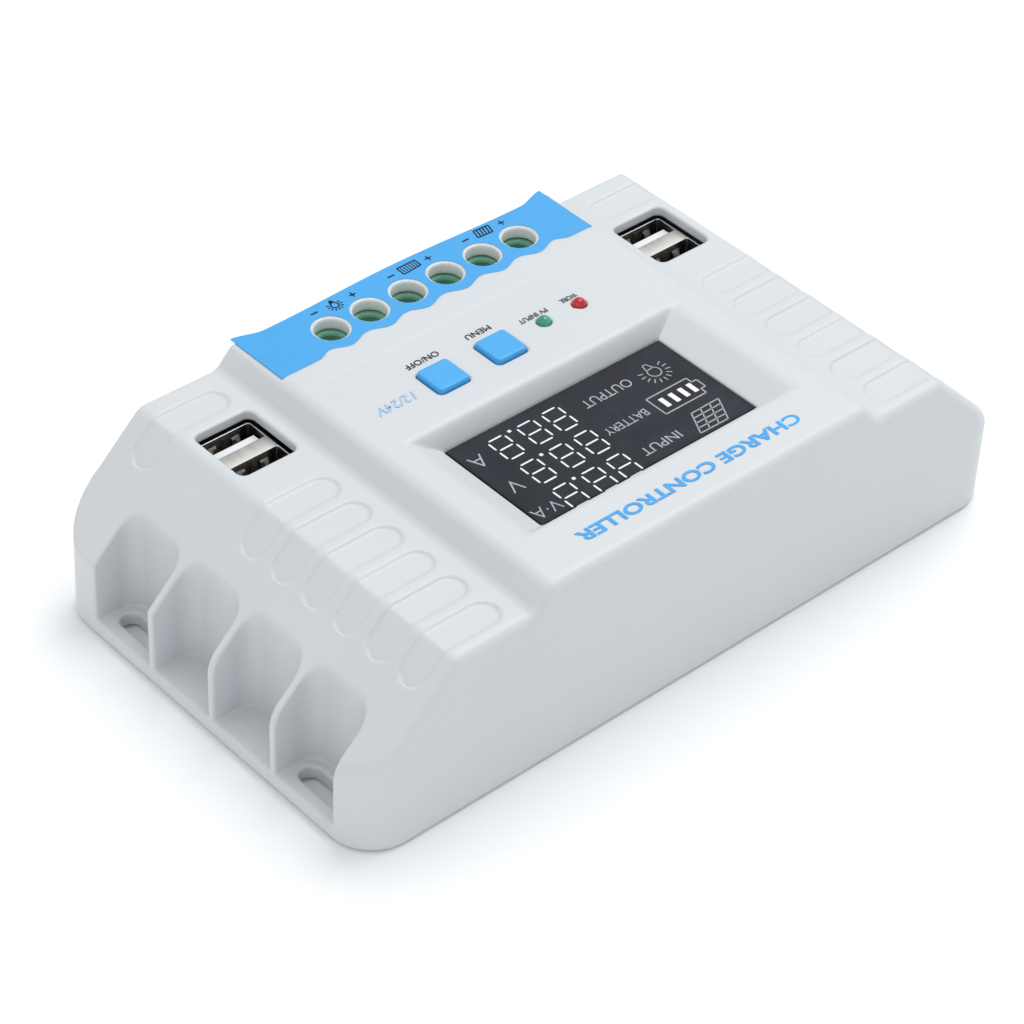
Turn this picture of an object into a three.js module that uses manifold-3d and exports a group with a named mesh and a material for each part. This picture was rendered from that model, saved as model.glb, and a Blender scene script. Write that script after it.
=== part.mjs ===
// Wall-mounted solar charge controller, in millimetres, +Z away from the wall.
// The origin is the middle of the back face. +X is the reading direction and
// the terminals open towards -Y.
import * as THREE from 'three';
import { mergeVertices } from 'three/addons/utils/BufferGeometryUtils.js';
import Module from 'manifold-3d';

const wasm = await Module();
wasm.setup();
const { lerp, smoothstep } = THREE.MathUtils;

// ---------------------------------------------------------------- driving sizes
const GAP = 0.3;                    // air between pieces that touch on the real object
const WALL = 2.5;                   // moulded wall of the housing

const HALF_LENGTH = 87;
const HALF_WIDTH = 48.7;
const CORNER_RADIUS = 10;           // upright corners of the housing
const EDGE_RADIUS = 2;              // rounding of the long top edge away from the terminals
const END_HEIGHT = 18;              // where the end face turns into the slope
const SHOULDER_Z = 39.5;
const SHOULDER_OUTER_X = 65.3;
const SHOULDER_INNER_X = 46.2;
const PLATEAU_X = 42.1;
const PLATEAU_Z = 44.5;

const CAVITY_X = 73;                // inside of the housing
const CAVITY_Y = [-43.8, 46.2];
const CAVITY_CORNER = 3.3;

const POCKET_YS = [-26.3, -7.4, 11.5, 30.4];
const POCKET = { half: 8.6, backX: 76.9, radius: 4 };
const FLANGE_HEIGHT = 3.5;          // floor of the pockets
const SLOT_YS = [-26.3, 30.4];      // mounting slots in the outer pockets
const SLOT_X = 81.4;
const SLOT_WIDTH = 4.6;
const SLOT_LENGTH = 13.5;

const POLES = 6;                    // terminals
const POLE_PITCH = 10.16;
const POLE_FIRST_X = 23.7;
const POLE_Y = -38.6;
const POLE_MIDDLE_X = POLE_FIRST_X - POLE_PITCH * (POLES - 1) / 2;
const SCREW_HOLE_RADIUS = 3.6;
const SCREW_HOLE_FLARE = 0.5;       // the hole's mouth is wider by this much
const SETBACK = {                   // how far the terminal wall stands back, bowed
  middle: 0.9,
  side: 1.85,
  sideX: 33,
  blendX: 34.5,                     // an S-curve from here brings it out to full width
  endX: 42,
};
const WIRE_HOLE_WIDTH = 8;
const WIRE_HOLE_Z = [13, 22];

const LABEL_RECESS = 0.55;
const LABEL_THICKNESS = 0.3;
const LABEL_NEAR_Y = -31.9;         // straight ends of the edge beside the holes
const LABEL_WAVE_Y = -32.5;
const LABEL_WAVE = 0.75;
const LABEL_EDGE = 0.2;             // from its far edge to the terminal wall
const LABEL_X = 41.7;
const LABEL_BED = 0.25;             // adhesive under the label, left open

const BEZEL_TOP = { x: 36.2, y0: -0.9, y1: 34.5 };
const WINDOW = { x: 28.9, y0: 2.3, y1: 31.1 };
const WINDOW_Z = 40.6;
const BEZEL_UNDERSIDE = 39.4;
const BEZEL_BLOCK = { x: 39, y0: -3.5, y1: 37.2 };
const CEILING_Z = PLATEAU_Z - WALL; // inside face of the plateau
const CEILING_BITE = 0.5;           // how far ribs and bosses run into the plateau's wall
const LCD_PANEL = { x: 31.5, y0: 0, y1: 33.4, z0: 37.6 };
const LCD_TRAY = { x: 33, y0: -1.5, y1: 34.9, rim: 1.2, floorZ: 37.3, top: 38.4 };

const BUTTON_SIZE = 7.8;
const BUTTON_RADIUS = 1;
const BUTTON_Y = -12.1;
const BUTTON_PROUD = 0.8;
const BUTTONS = { on_off: 16.7, menu: 1.4 };
const BUTTON_CLEARANCE = 0.35;
const BUTTON_FLANGE = { grow: 1.6, z0: 40.6, z1: 41.6 };
const BUTTON_STEM = { radius: 2, z0: 37.2 };
const SWITCH = { half: 3, top: 35.9, plungerRadius: 1.75, plungerTop: 36.4 };

const LED_RADIUS = 1.5;
const LED_Y = -13.2;
const LEDS = { pv: -11.3, work: -21 };
const LED_CLEARANCE = 0.25;
const LED_SIDES = 24;
const LED_DOME_Z = 44.2;            // centre of the dome
const LED_RIM = { radius: 1.95, z0: 38, z1: 39 };
const LED_LEGS = { spread: 1.27, half: 0.25 };

const USB_X = 56.05;                // middle of each twin socket
const USB_Y = -25.45;
const USB_MOUTH = { x: 14.1, y: 15.9, radius: 1.6 };
const USB_SHELL = { x: 13.5, y: 15.3, z0: 19.7, z1: 36.7 };
const USB_PORT = { x: 12.7, y: 5.3 };
const USB_TONGUE = { x: 11.1, y: 1.9, back: 0.7 };
const USB_FLOOR_Z = 24.3;

const COVER_THICKNESS = 2.5;
const COVER_BOSS = { radius: 3.2, hole: 1.6, top: 28, holeTop: 14 };
const COVER_SCREWS = [[-68.5, -39.5], [68.5, -39.5], [-68.5, 42], [68.5, 42]];
const MAIN_BOARD = { x: 64.5, y0: -43, y1: 43, z0: 9, z1: 10.6 };
const COVER_SINK = { radius: 3.1, depth: 1.6 };   // counterbores of the cover screws
const PEG = { foot: 3, pin: 1.2, hole: 1.5 };
const MAIN_PEGS = [[-58, -39], [58, -39], [-58, 39], [58, 39]];
const DISPLAY_BOARD = { x: 40, y0: -24, y1: 42, z0: 31, z1: 32.6 };
const BOARD_BOSS = { radius: 2.9, hole: 1.4, holeTop: 40.4 };
const BOARD_SCREWS = [[-36.5, -20], [36.5, -20], [-36.5, 38.5], [36.5, 38.5]];

const BLOCK = { y0: -43.5, y1: -29.5, z0: 10.9, z1: 41 };
const CAGE_TRAVEL = 4.2;            // seven turns of the 0.6 mm thread
const SHANK_RADIUS = 1.7;           // terminal screw, 3.5 mm thread
const HEAD_RADIUS = 3.2;
const HEAD_Z = 29.7;
const HEAD_HEIGHT = 3;
const BAR_TOP_Z = 20.6;

// ---------------------------------------------------------------- solids
function toManifold(geometry) {
  const bare = geometry.clone();
  bare.deleteAttribute('normal');
  bare.deleteAttribute('uv');
  const welded = mergeVertices(bare, 1e-4);
  return new wasm.Manifold(new wasm.Mesh({
    numProp: 3,
    vertProperties: new Float32Array(welded.attributes.position.array),
    triVerts: new Uint32Array(welded.index.array),
  }));
}

function toGeometry(solid) {
  const mesh = solid.getMesh();
  const geometry = new THREE.BufferGeometry();
  geometry.setAttribute('position', new THREE.BufferAttribute(mesh.vertProperties, 3));
  geometry.setIndex(new THREE.BufferAttribute(mesh.triVerts, 1));
  return geometry;
}

function box(x0, x1, y0, y1, z0, z1) {
  const geometry = new THREE.BoxGeometry(x1 - x0, y1 - y0, z1 - z0);
  geometry.translate((x0 + x1) / 2, (y0 + y1) / 2, (z0 + z1) / 2);
  return toManifold(geometry);
}

// upright cylinder or cone
function rod(radius, z0, z1, x = 0, y = 0, topRadius = radius, sides = 20) {
  const geometry = new THREE.CylinderGeometry(topRadius, radius, z1 - z0, sides);
  geometry.rotateX(Math.PI / 2);
  geometry.translate(x, y, (z0 + z1) / 2);
  return toManifold(geometry);
}

// outline in the XY plane, raised from z0 to z1
function slab(shape, z0, z1, curveSegments = 3) {
  const geometry = new THREE.ExtrudeGeometry(shape, { depth: z1 - z0, bevelEnabled: false, curveSegments });
  geometry.translate(0, 0, z0);
  return toManifold(geometry);
}

// outline in the XZ plane, drawn out from y0 to y1, with its end edges rounded
function prism(shape, y0, y1, edge = 0) {
  const geometry = new THREE.ExtrudeGeometry(shape, {
    depth: y1 - y0 - 2 * edge,
    bevelEnabled: edge > 0,
    bevelThickness: edge,
    bevelSize: edge,
    bevelOffset: -edge,
    bevelSegments: 4,
    curveSegments: 4,
  });
  geometry.rotateX(Math.PI / 2);
  geometry.translate(0, y1 - edge, 0);
  return toManifold(geometry);
}

// block whose lower and upper rectangles differ
function frustum(low, z0, high, z1) {
  const geometry = new THREE.BoxGeometry(2, 2, 2);
  const p = geometry.attributes.position;
  for (let i = 0; i < p.count; i++) {
    const rectangle = p.getZ(i) < 0 ? low : high;
    const y = p.getY(i) < 0 ? rectangle.y0 : rectangle.y1;
    p.setXYZ(i, Math.sign(p.getX(i)) * rectangle.x, y, p.getZ(i) < 0 ? z0 : z1);
  }
  return toManifold(geometry);
}

function roundedRectangle(width, depth, radius, x = 0, y = 0) {
  const shape = new THREE.Shape();
  const [a, b] = [width / 2 - radius, depth / 2 - radius];
  shape.absarc(x + a, y - b, radius, -Math.PI / 2, 0);
  shape.absarc(x + a, y + b, radius, 0, Math.PI / 2);
  shape.absarc(x - a, y + b, radius, Math.PI / 2, Math.PI);
  shape.absarc(x - a, y - b, radius, Math.PI, 1.5 * Math.PI);
  return shape;
}

function polygon(points) {
  return new THREE.Shape(points.map(([x, y]) => new THREE.Vector2(x, y)));
}

// polygon whose corners are replaced by short curves, as long as each point's third number
function softPolygon(points) {
  const corners = points.map(([x, y]) => new THREE.Vector2(x, y));
  const shape = new THREE.Shape();
  corners.forEach((corner, i) => {
    const size = points[i][2];
    const before = corners.at(i - 1).clone().sub(corner).setLength(size).add(corner);
    const after = corners[(i + 1) % corners.length].clone().sub(corner).setLength(size).add(corner);
    if (i === 0) shape.moveTo(before.x, before.y);
    else shape.lineTo(before.x, before.y);
    shape.quadraticCurveTo(corner.x, corner.y, after.x, after.y);
  });
  return shape;
}

const union = (solids) => solids.reduce((sum, solid) => sum.add(solid));
const cut = (solid, tools) => tools.reduce((rest, tool) => rest.subtract(tool), solid);
const poleX = (i) => POLE_FIRST_X - POLE_PITCH * i;
const poles = [...Array(POLES).keys()];

// ---------------------------------------------------------------- scene graph
const model = new THREE.Group();

function add(name, solid, look, x = 0, y = 0, z = 0) {
  const material = new THREE.MeshStandardMaterial(look);
  const mesh = new THREE.Mesh(toGeometry(solid), material);
  mesh.name = name;
  mesh.position.set(x, y, z);
  model.add(mesh);
}

const ABS = { color: '#dde2e6', roughness: 0.45, metalness: 0 };
const BLUE = { color: '#58b2f4', roughness: 0.4, metalness: 0 };
const STEEL = { color: '#c9ccd0', roughness: 0.25, metalness: 1 };
const BRASS = { color: '#c9a24e', roughness: 0.3, metalness: 1 };
const BOARD = { color: '#1d5f3a', roughness: 0.5, metalness: 0 };
const TERMINAL_GREEN = { color: '#3d8f57', roughness: 0.5, metalness: 0 };
const WHITE_PLASTIC = { color: '#eceded', roughness: 0.4, metalness: 0 };
const BLACK_PLASTIC = { color: '#1c1d1f', roughness: 0.5, metalness: 0 };
const ALUMINIUM = { color: '#aeb2b6', roughness: 0.35, metalness: 1 };

// ---------------------------------------------------------------- housing
function setback(x) {
  const { middle, side, sideX, blendX, endX } = SETBACK;
  const bow = lerp(middle, side, smoothstep(Math.abs(x), 0, sideX));
  return bow * (1 - smoothstep(Math.abs(x), blendX, endX));
}

// bowed and S-curved line across the terminal side, from x = -reach to x = reach
function terminalLine(reach, inset) {
  const half = [];
  for (let i = 0; i < 5; i++) half.push(SETBACK.blendX * i / 5);
  for (let i = 0; i < 8; i++) half.push(lerp(SETBACK.blendX, SETBACK.endX, i / 7));
  const xs = half.filter((x) => x < reach - 0.1).concat(reach);
  const line = [...xs.slice(1).reverse().map((x) => -x), ...xs];
  return line.map((x) => [x, inset - HALF_WIDTH + setback(x)]);
}

function housingOutline() {
  const shape = new THREE.Shape();
  const [a, b, r] = [HALF_LENGTH - CORNER_RADIUS, HALF_WIDTH - CORNER_RADIUS, CORNER_RADIUS];
  shape.absarc(-a, -b, r, Math.PI, 1.5 * Math.PI);
  for (const [x, y] of terminalLine(45, 0)) shape.lineTo(x, y);
  shape.absarc(a, -b, r, -Math.PI / 2, 0);
  shape.absarc(a, b, r, 0, Math.PI / 2);
  shape.absarc(-a, b, r, Math.PI / 2, Math.PI);
  return shape;
}

function mirrored(half) {
  return [...half, ...half.map(([x, ...rest]) => [-x, ...rest]).reverse()];
}

function housingProfile() {
  return softPolygon(mirrored([
    [HALF_LENGTH, -8, 3],
    [HALF_LENGTH, END_HEIGHT, 1.5],
    [SHOULDER_OUTER_X, SHOULDER_Z, 1.2],
    [SHOULDER_INNER_X, SHOULDER_Z, 1],
    [PLATEAU_X, PLATEAU_Z, 1.2],
  ]));
}

function cavityProfile() {
  const slope = (HALF_LENGTH - SHOULDER_OUTER_X) / (SHOULDER_Z - END_HEIGHT);
  const slopeX = (z) => HALF_LENGTH - (z - END_HEIGHT) * slope - WALL * Math.SQRT2;
  const ceiling = SHOULDER_Z - WALL;
  const turnZ = END_HEIGHT + (HALF_LENGTH - WALL * Math.SQRT2 - CAVITY_X) / slope;
  return polygon(mirrored([
    [CAVITY_X, -1],
    [CAVITY_X, turnZ],
    [slopeX(ceiling), ceiling],
    [SHOULDER_INNER_X - 1.2, ceiling],
    [PLATEAU_X - 1.2, CEILING_Z],
  ]));
}

function cavity() {
  const depth = CAVITY_Y[1] - CAVITY_Y[0];
  const middle = (CAVITY_Y[1] + CAVITY_Y[0]) / 2;
  const plan = slab(roundedRectangle(2 * CAVITY_X, depth, CAVITY_CORNER, 0, middle), -1, PLATEAU_Z);
  return prism(cavityProfile(), CAVITY_Y[0], CAVITY_Y[1]).intersect(plan);
}

function pocket(side, y) {
  const depth = HALF_LENGTH + 10 - POCKET.backX;
  const middle = side * (POCKET.backX + depth / 2);
  const shape = roundedRectangle(depth, 2 * POCKET.half, POCKET.radius, middle, y);
  return slab(shape, FLANGE_HEIGHT, PLATEAU_Z, 6);
}

function mountingSlot(side, y) {
  const shape = roundedRectangle(SLOT_WIDTH, SLOT_LENGTH, SLOT_WIDTH / 2, side * SLOT_X, y);
  return slab(shape, -1, FLANGE_HEIGHT + 1);
}

function terminalHole(i) {
  const throat = rod(SCREW_HOLE_RADIUS, CEILING_Z - 1, PLATEAU_Z + 1, poleX(i), POLE_Y);
  const rim = PLATEAU_Z - LABEL_RECESS;
  const mouth = SCREW_HOLE_RADIUS + SCREW_HOLE_FLARE;
  const flare = rod(SCREW_HOLE_RADIUS, rim - 0.6, rim, poleX(i), POLE_Y, mouth);
  const collar = rod(mouth, rim, PLATEAU_Z + 1, poleX(i), POLE_Y);
  return union([throat, flare, collar]);
}

function labelOutline(grow) {
  const points = terminalLine(LABEL_X + grow, LABEL_EDGE - grow);
  points.push([LABEL_X + grow, LABEL_NEAR_Y + grow]);
  const steps = 6;
  for (let i = 0; i <= steps * POLES; i++) {
    const along = POLE_PITCH * (i / steps - 0.5);
    const wave = LABEL_WAVE * Math.cos(2 * Math.PI * along / POLE_PITCH);
    points.push([POLE_FIRST_X - along, LABEL_WAVE_Y + wave + grow]);
  }
  points.push([-LABEL_X - grow, LABEL_NEAR_Y + grow]);
  return polygon(points);
}

// post with a blind screw hole in its foot
function boss(size, x, y, z0, z1) {
  return rod(size.radius, z0, z1, x, y).subtract(rod(size.hole, z0 - 1, size.holeTop, x, y));
}

function frontHousing() {
  const outside = prism(housingProfile(), -HALF_WIDTH - EDGE_RADIUS, HALF_WIDTH, EDGE_RADIUS)
    .intersect(slab(housingOutline(), 0, PLATEAU_Z + 5, 5));
  const under = CEILING_Z + CEILING_BITE;
  const bezel = box(-BEZEL_BLOCK.x, BEZEL_BLOCK.x, BEZEL_BLOCK.y0, BEZEL_BLOCK.y1, BEZEL_UNDERSIDE, under);
  const coverBosses = COVER_SCREWS.map(([x, y]) => {
    const [x0, x1] = x > 0 ? [x + 2, CAVITY_X + 1] : [-CAVITY_X - 1, x - 2];
    const rib = box(x0, x1, y - 1, y + 1, COVER_THICKNESS + 0.5, COVER_BOSS.top);
    return boss(COVER_BOSS, x, y, COVER_THICKNESS + GAP, COVER_BOSS.top).add(rib);
  });
  const boardBosses = BOARD_SCREWS.map(([x, y]) => boss(BOARD_BOSS, x, y, DISPLAY_BOARD.z1 + GAP, under));
  const body = union([outside.subtract(cavity()), bezel, ...coverBosses, ...boardBosses]);
  const ends = [-1, 1];
  const buttonHole = BUTTON_SIZE + 2 * BUTTON_CLEARANCE;
  return cut(body, [
    ...ends.flatMap((side) => POCKET_YS.map((y) => pocket(side, y))),
    ...ends.flatMap((side) => SLOT_YS.map((y) => mountingSlot(side, y))),
    ...ends.map((side) => slab(
      roundedRectangle(USB_MOUTH.x, USB_MOUTH.y, USB_MOUTH.radius, side * USB_X, USB_Y),
      SHOULDER_Z - WALL - 1,
      SHOULDER_Z + 1,
    )),
    ...Object.values(BUTTONS).map((x) => slab(
      roundedRectangle(buttonHole, buttonHole, BUTTON_RADIUS + BUTTON_CLEARANCE, x, BUTTON_Y),
      CEILING_Z - 1,
      PLATEAU_Z + 1,
    )),
    ...Object.values(LEDS).map((x) => (
      rod(LED_RADIUS + LED_CLEARANCE, CEILING_Z - 1, PLATEAU_Z + 1, x, LED_Y)
    )),
    slab(labelOutline(GAP), PLATEAU_Z - LABEL_RECESS, PLATEAU_Z + 2),
    ...poles.map(terminalHole),
    ...poles.map((i) => box(
      poleX(i) - WIRE_HOLE_WIDTH / 2,
      poleX(i) + WIRE_HOLE_WIDTH / 2,
      -HALF_WIDTH - 1,
      CAVITY_Y[0] + 1,
      WIRE_HOLE_Z[0],
      WIRE_HOLE_Z[1],
    )),
    frustum(WINDOW, WINDOW_Z, BEZEL_TOP, PLATEAU_Z),
    frustum(BEZEL_TOP, PLATEAU_Z - 0.01, BEZEL_TOP, PLATEAU_Z + 1),
    frustum(WINDOW, BEZEL_UNDERSIDE - 1, WINDOW, WINDOW_Z + 0.01),
  ]);
}

add('front_housing', frontHousing(), ABS);

// ---------------------------------------------------------------- rear cover
function rearCover() {
  const depth = CAVITY_Y[1] - CAVITY_Y[0] - 2 * GAP;
  const middle = (CAVITY_Y[1] + CAVITY_Y[0]) / 2;
  const width = 2 * (CAVITY_X - GAP);
  const plate = slab(roundedRectangle(width, depth, CAVITY_CORNER - GAP, 0, middle), 0, COVER_THICKNESS);
  const pegs = MAIN_PEGS.map(([x, y]) => union([
    rod(PEG.foot, COVER_THICKNESS - 0.5, MAIN_BOARD.z0 - GAP, x, y),
    rod(PEG.pin, MAIN_BOARD.z0 - 1, MAIN_BOARD.z1 + 1.5, x, y),
  ]));
  return cut(union([plate, ...pegs]), COVER_SCREWS.map(([x, y]) => union([
    rod(COVER_BOSS.hole, -1, COVER_THICKNESS + 1, x, y),
    rod(COVER_SINK.radius, -1, COVER_SINK.depth, x, y),
  ])));
}

add('rear_cover', rearCover(), ABS);

// ---------------------------------------------------------------- label
function terminalLabel() {
  const z0 = PLATEAU_Z - LABEL_RECESS + LABEL_BED;
  const mouth = SCREW_HOLE_RADIUS + SCREW_HOLE_FLARE;
  const holes = poles.map((i) => rod(mouth, z0 - 1, z0 + 1, poleX(i), POLE_Y));
  return cut(slab(labelOutline(0), z0, z0 + LABEL_THICKNESS), holes);
}

add('terminal_label', terminalLabel(), BLUE);

// ---------------------------------------------------------------- display
add(
  'display_window',
  box(-WINDOW.x + GAP, WINDOW.x - GAP, WINDOW.y0 + GAP, WINDOW.y1 - GAP, WINDOW_Z - 1, WINDOW_Z),
  { color: '#24262c', roughness: 0.1, metalness: 0 },
);
add(
  'lcd_panel',
  box(-LCD_PANEL.x, LCD_PANEL.x, LCD_PANEL.y0, LCD_PANEL.y1, LCD_PANEL.z0, BEZEL_UNDERSIDE - GAP),
  { color: '#15171d', roughness: 0.2, metalness: 0 },
);

function lcdFrame() {
  const { x, y0, y1, rim, floorZ, top } = LCD_TRAY;
  const tray = box(-x, x, y0, y1, DISPLAY_BOARD.z1 + GAP, top);
  return tray.subtract(box(-x + rim, x - rim, y0 + rim, y1 - rim, floorZ, top + 1));
}

add('lcd_frame', lcdFrame(), WHITE_PLASTIC);

function displayBoard() {
  const { x, y0, y1, z0, z1 } = DISPLAY_BOARD;
  const holes = BOARD_SCREWS.map(([a, b]) => rod(BOARD_BOSS.hole, z0 - 1, z1 + 1, a, b));
  return cut(box(-x, x, y0, y1, z0, z1), holes);
}

add('display_board', displayBoard(), BOARD);

// ---------------------------------------------------------------- buttons and lamps
function buttonCap() {
  const top = PLATEAU_Z + BUTTON_PROUD;
  const rim = 0.4;
  const inner = roundedRectangle(BUTTON_SIZE - 2 * rim, BUTTON_SIZE - 2 * rim, BUTTON_RADIUS - rim);
  const { z0, z1 } = BUTTON_FLANGE;
  const flange = BUTTON_SIZE + BUTTON_FLANGE.grow;
  return union([
    slab(roundedRectangle(BUTTON_SIZE, BUTTON_SIZE, BUTTON_RADIUS), z1 - rim, top - rim),
    slab(inner, top - rim - 0.1, top),
    slab(roundedRectangle(flange, flange, BUTTON_RADIUS), z0, z1),
    rod(BUTTON_STEM.radius, BUTTON_STEM.z0, z0 + 0.2),
  ]);
}

function tactSwitch() {
  const { half, top, plungerRadius, plungerTop } = SWITCH;
  const body = box(-half, half, -half, half, DISPLAY_BOARD.z1 + GAP, top);
  return body.add(rod(plungerRadius, top - 0.1, plungerTop));
}

function lamp() {
  const foot = DISPLAY_BOARD.z1 + GAP;
  const { radius, z0, z1 } = LED_RIM;
  const { spread, half } = LED_LEGS;
  const dome = new THREE.SphereGeometry(LED_RADIUS, LED_SIDES, LED_SIDES / 2);
  dome.rotateX(Math.PI / 2);
  dome.translate(0, 0, LED_DOME_Z);
  const barrel = rod(LED_RADIUS, z0 + 0.5, LED_DOME_Z, 0, 0, LED_RADIUS, LED_SIDES);
  const legs = [-spread, spread].map((x) => box(x - half, x + half, -half, half, foot, z0 + 0.2));
  return union([barrel, toManifold(dome), rod(radius, z0, z1), ...legs]);
}

for (const [name, x] of Object.entries(BUTTONS)) {
  add(`button_${name}`, buttonCap(), BLUE, x, BUTTON_Y);
  add(`switch_${name}`, tactSwitch(), BLACK_PLASTIC, x, BUTTON_Y);
}
const LAMP_LOOKS = {
  pv: { color: '#2f8f63', roughness: 0.15, metalness: 0 },
  work: { color: '#c22420', roughness: 0.15, metalness: 0 },
};
for (const [name, x] of Object.entries(LEDS)) add(`led_${name}`, lamp(), LAMP_LOOKS[name], x, LED_Y);

// ---------------------------------------------------------------- USB sockets
// the two ports of one socket lie side by side along Y
const portMiddles = [-1, 1].map((side) => side * (USB_SHELL.y - USB_PORT.y - 0.9) / 2);

function usbShell() {
  const { x, y, z0, z1 } = USB_SHELL;
  const can = slab(roundedRectangle(x, y, 0.8), z0, z1);
  const ports = portMiddles.map((middle) => slab(
    roundedRectangle(USB_PORT.x, USB_PORT.y, 0.5, 0, middle),
    USB_FLOOR_Z,
    z1 + 1,
  ));
  const [innerX, innerY] = [x / 2 - 0.4, y / 2 - 0.4];
  const back = box(-innerX, innerX, -innerY, innerY, z0 - 1, USB_FLOOR_Z + 0.01);
  return cut(can, [...ports, back]);
}

function usbInsulator() {
  const { x, y, z0, z1 } = USB_SHELL;
  const base = box(-x / 2 + 0.7, x / 2 - 0.7, -y / 2 + 0.7, y / 2 - 0.7, z0, USB_FLOOR_Z - GAP);
  const tongues = portMiddles.map((middle) => {
    const back = middle + USB_PORT.y / 2 - USB_TONGUE.back;
    return box(-USB_TONGUE.x / 2, USB_TONGUE.x / 2, back - USB_TONGUE.y, back, z0 + 1, z1 - 1);
  });
  return union([base, ...tongues]);
}

function usbBoard() {
  const back = -USB_SHELL.y / 2 - GAP;
  return box(-8, 8, back - 1.6, back, MAIN_BOARD.z1 + GAP, 34.5);
}

for (const [name, side] of [['a', 1], ['b', -1]]) {
  add(`usb_shell_${name}`, usbShell(), STEEL, side * USB_X, USB_Y);
  add(`usb_insulator_${name}`, usbInsulator(), WHITE_PLASTIC, side * USB_X, USB_Y);
  add(`usb_board_${name}`, usbBoard(), BOARD, side * USB_X, USB_Y);
}

// ---------------------------------------------------------------- terminals
const CAGE = { x: 7.2, y: 7.6, z0: 13.2, z1: 23.2 };
const CAGE_WINDOW = { half: 2.9, floor: 1.4, roof: 2 };
const WIRE_WAY_HALF = 3.5;
const BAR = { half: 2.5, thickness: 1.2, y0: -3.6, y1: 6.6 };
const CAGE_CELL = { x: 7.8, y: 8.2, z0: CAGE.z0 - 0.4, z1: CAGE.z1 + CAGE_TRAVEL + 0.4 };
const WELL_FLOOR_Z = HEAD_Z - GAP;

function terminalCell(x) {
  const [halfX, halfY] = [CAGE_CELL.x / 2, CAGE_CELL.y / 2];
  const barHalf = BAR.half + GAP;
  const [entryZ0, entryZ1] = [WIRE_HOLE_Z[0] + 0.2, WIRE_HOLE_Z[1] - 0.2];
  return union([
    box(x - halfX, x + halfX, POLE_Y - halfY, POLE_Y + halfY, CAGE_CELL.z0, CAGE_CELL.z1),
    box(x - WIRE_WAY_HALF, x + WIRE_WAY_HALF, BLOCK.y0 - 1, POLE_Y, entryZ0, entryZ1),
    rod(SHANK_RADIUS + 0.6, CAGE_CELL.z1 - 0.1, WELL_FLOOR_Z + 0.1, x, POLE_Y),
    rod(HEAD_RADIUS + 0.4, WELL_FLOOR_Z, BLOCK.z1 + 1, x, POLE_Y),
    box(x - barHalf, x + barHalf, POLE_Y, POLE_Y + BAR.y1 + GAP, BLOCK.z0 - 1, BAR_TOP_Z + GAP),
  ]);
}

function terminalBlock() {
  const half = POLE_PITCH * POLES / 2;
  const body = box(POLE_MIDDLE_X - half, POLE_MIDDLE_X + half, BLOCK.y0, BLOCK.y1, BLOCK.z0, BLOCK.z1);
  return cut(body, poles.map((i) => terminalCell(poleX(i))));
}

function terminalScrew() {
  const top = HEAD_Z + HEAD_HEIGHT;
  const slot = 0.5;
  const reach = HEAD_RADIUS - 0.6;
  const floor = top - 1.4;
  const cross = [
    box(-reach, reach, -slot, slot, floor, top + 1),
    box(-slot, slot, -reach, reach, floor, top + 1),
  ];
  const tip = BAR_TOP_Z + GAP;
  return cut(rod(HEAD_RADIUS, HEAD_Z, top).add(rod(SHANK_RADIUS, tip, HEAD_Z + 0.5)), cross);
}

function wireClamp() {
  const { x, y, z0, z1 } = CAGE;
  const { half, floor, roof } = CAGE_WINDOW;
  return cut(box(-x / 2, x / 2, -y / 2, y / 2, z0, z1), [
    box(-half, half, -y, y, z0 + floor, z1 - roof),
    rod(SHANK_RADIUS + GAP, z1 - roof - 1, z1 + 1),
  ]);
}

function contactBar() {
  const { half, thickness, y0, y1 } = BAR;
  const bar = box(-half, half, y0, y1, BAR_TOP_Z - thickness, BAR_TOP_Z);
  return bar.add(box(-half, half, y1 - thickness, y1, BLOCK.z0, BAR_TOP_Z - thickness / 2));
}

add('terminal_block', terminalBlock(), TERMINAL_GREEN);
for (const i of poles) {
  add(`terminal_screw_${i + 1}`, terminalScrew(), STEEL, poleX(i), POLE_Y);
  add(`wire_clamp_${i + 1}`, wireClamp(), STEEL, poleX(i), POLE_Y);
  add(`contact_bar_${i + 1}`, contactBar(), BRASS, poleX(i), POLE_Y);
}

// ---------------------------------------------------------------- electronics
function mainBoard() {
  const { x, y0, y1, z0, z1 } = MAIN_BOARD;
  return cut(box(-x, x, y0, y1, z0, z1), MAIN_PEGS.map(([a, b]) => rod(PEG.hole, z0 - 1, z1 + 1, a, b)));
}

const BOARD_TOP = MAIN_BOARD.z1 + GAP;
const HEATSINK = { x: 44, y0: 36, y1: 38.2, finY: 43, top: 28.5, finZ: 14, finPitch: 4.2, finThickness: 1.4 };
const MOSFET = { half: 5, z0: 15, bodyTop: 24, tabTop: 29 };
const PIN_PITCH = 2.54;
const CHIP_LEADS = [-3.6, -2.4, -1.2, 0, 1.2, 2.4, 3.6];

function heatsink() {
  const { x, y0, y1, finY, top, finZ, finPitch, finThickness } = HEATSINK;
  const spine = box(-x, x, y0, y1, BOARD_TOP, top);
  const fins = [0, 1, 2, 3].map((i) => finZ + finPitch * i);
  return union([spine, ...fins.map((z) => box(-x, x, y1 - 0.2, finY, z, z + finThickness))]);
}

function mosfet() {
  const { half, z0, bodyTop, tabTop } = MOSFET;
  const window = box(-1.8, 1.8, -1, 1, bodyTop + 1.4, tabTop - 1.4);
  const tab = box(-half, half, -0.65, 0.65, z0, tabTop).subtract(window);
  const body = box(-half, half, -3.8, 0.2, z0, bodyTop);
  const legs = [-PIN_PITCH, 0, PIN_PITCH].map((x) => box(x - 0.4, x + 0.4, -2.4, -1.9, BOARD_TOP, z0 + 0.5));
  return union([tab, body, ...legs]);
}

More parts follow.
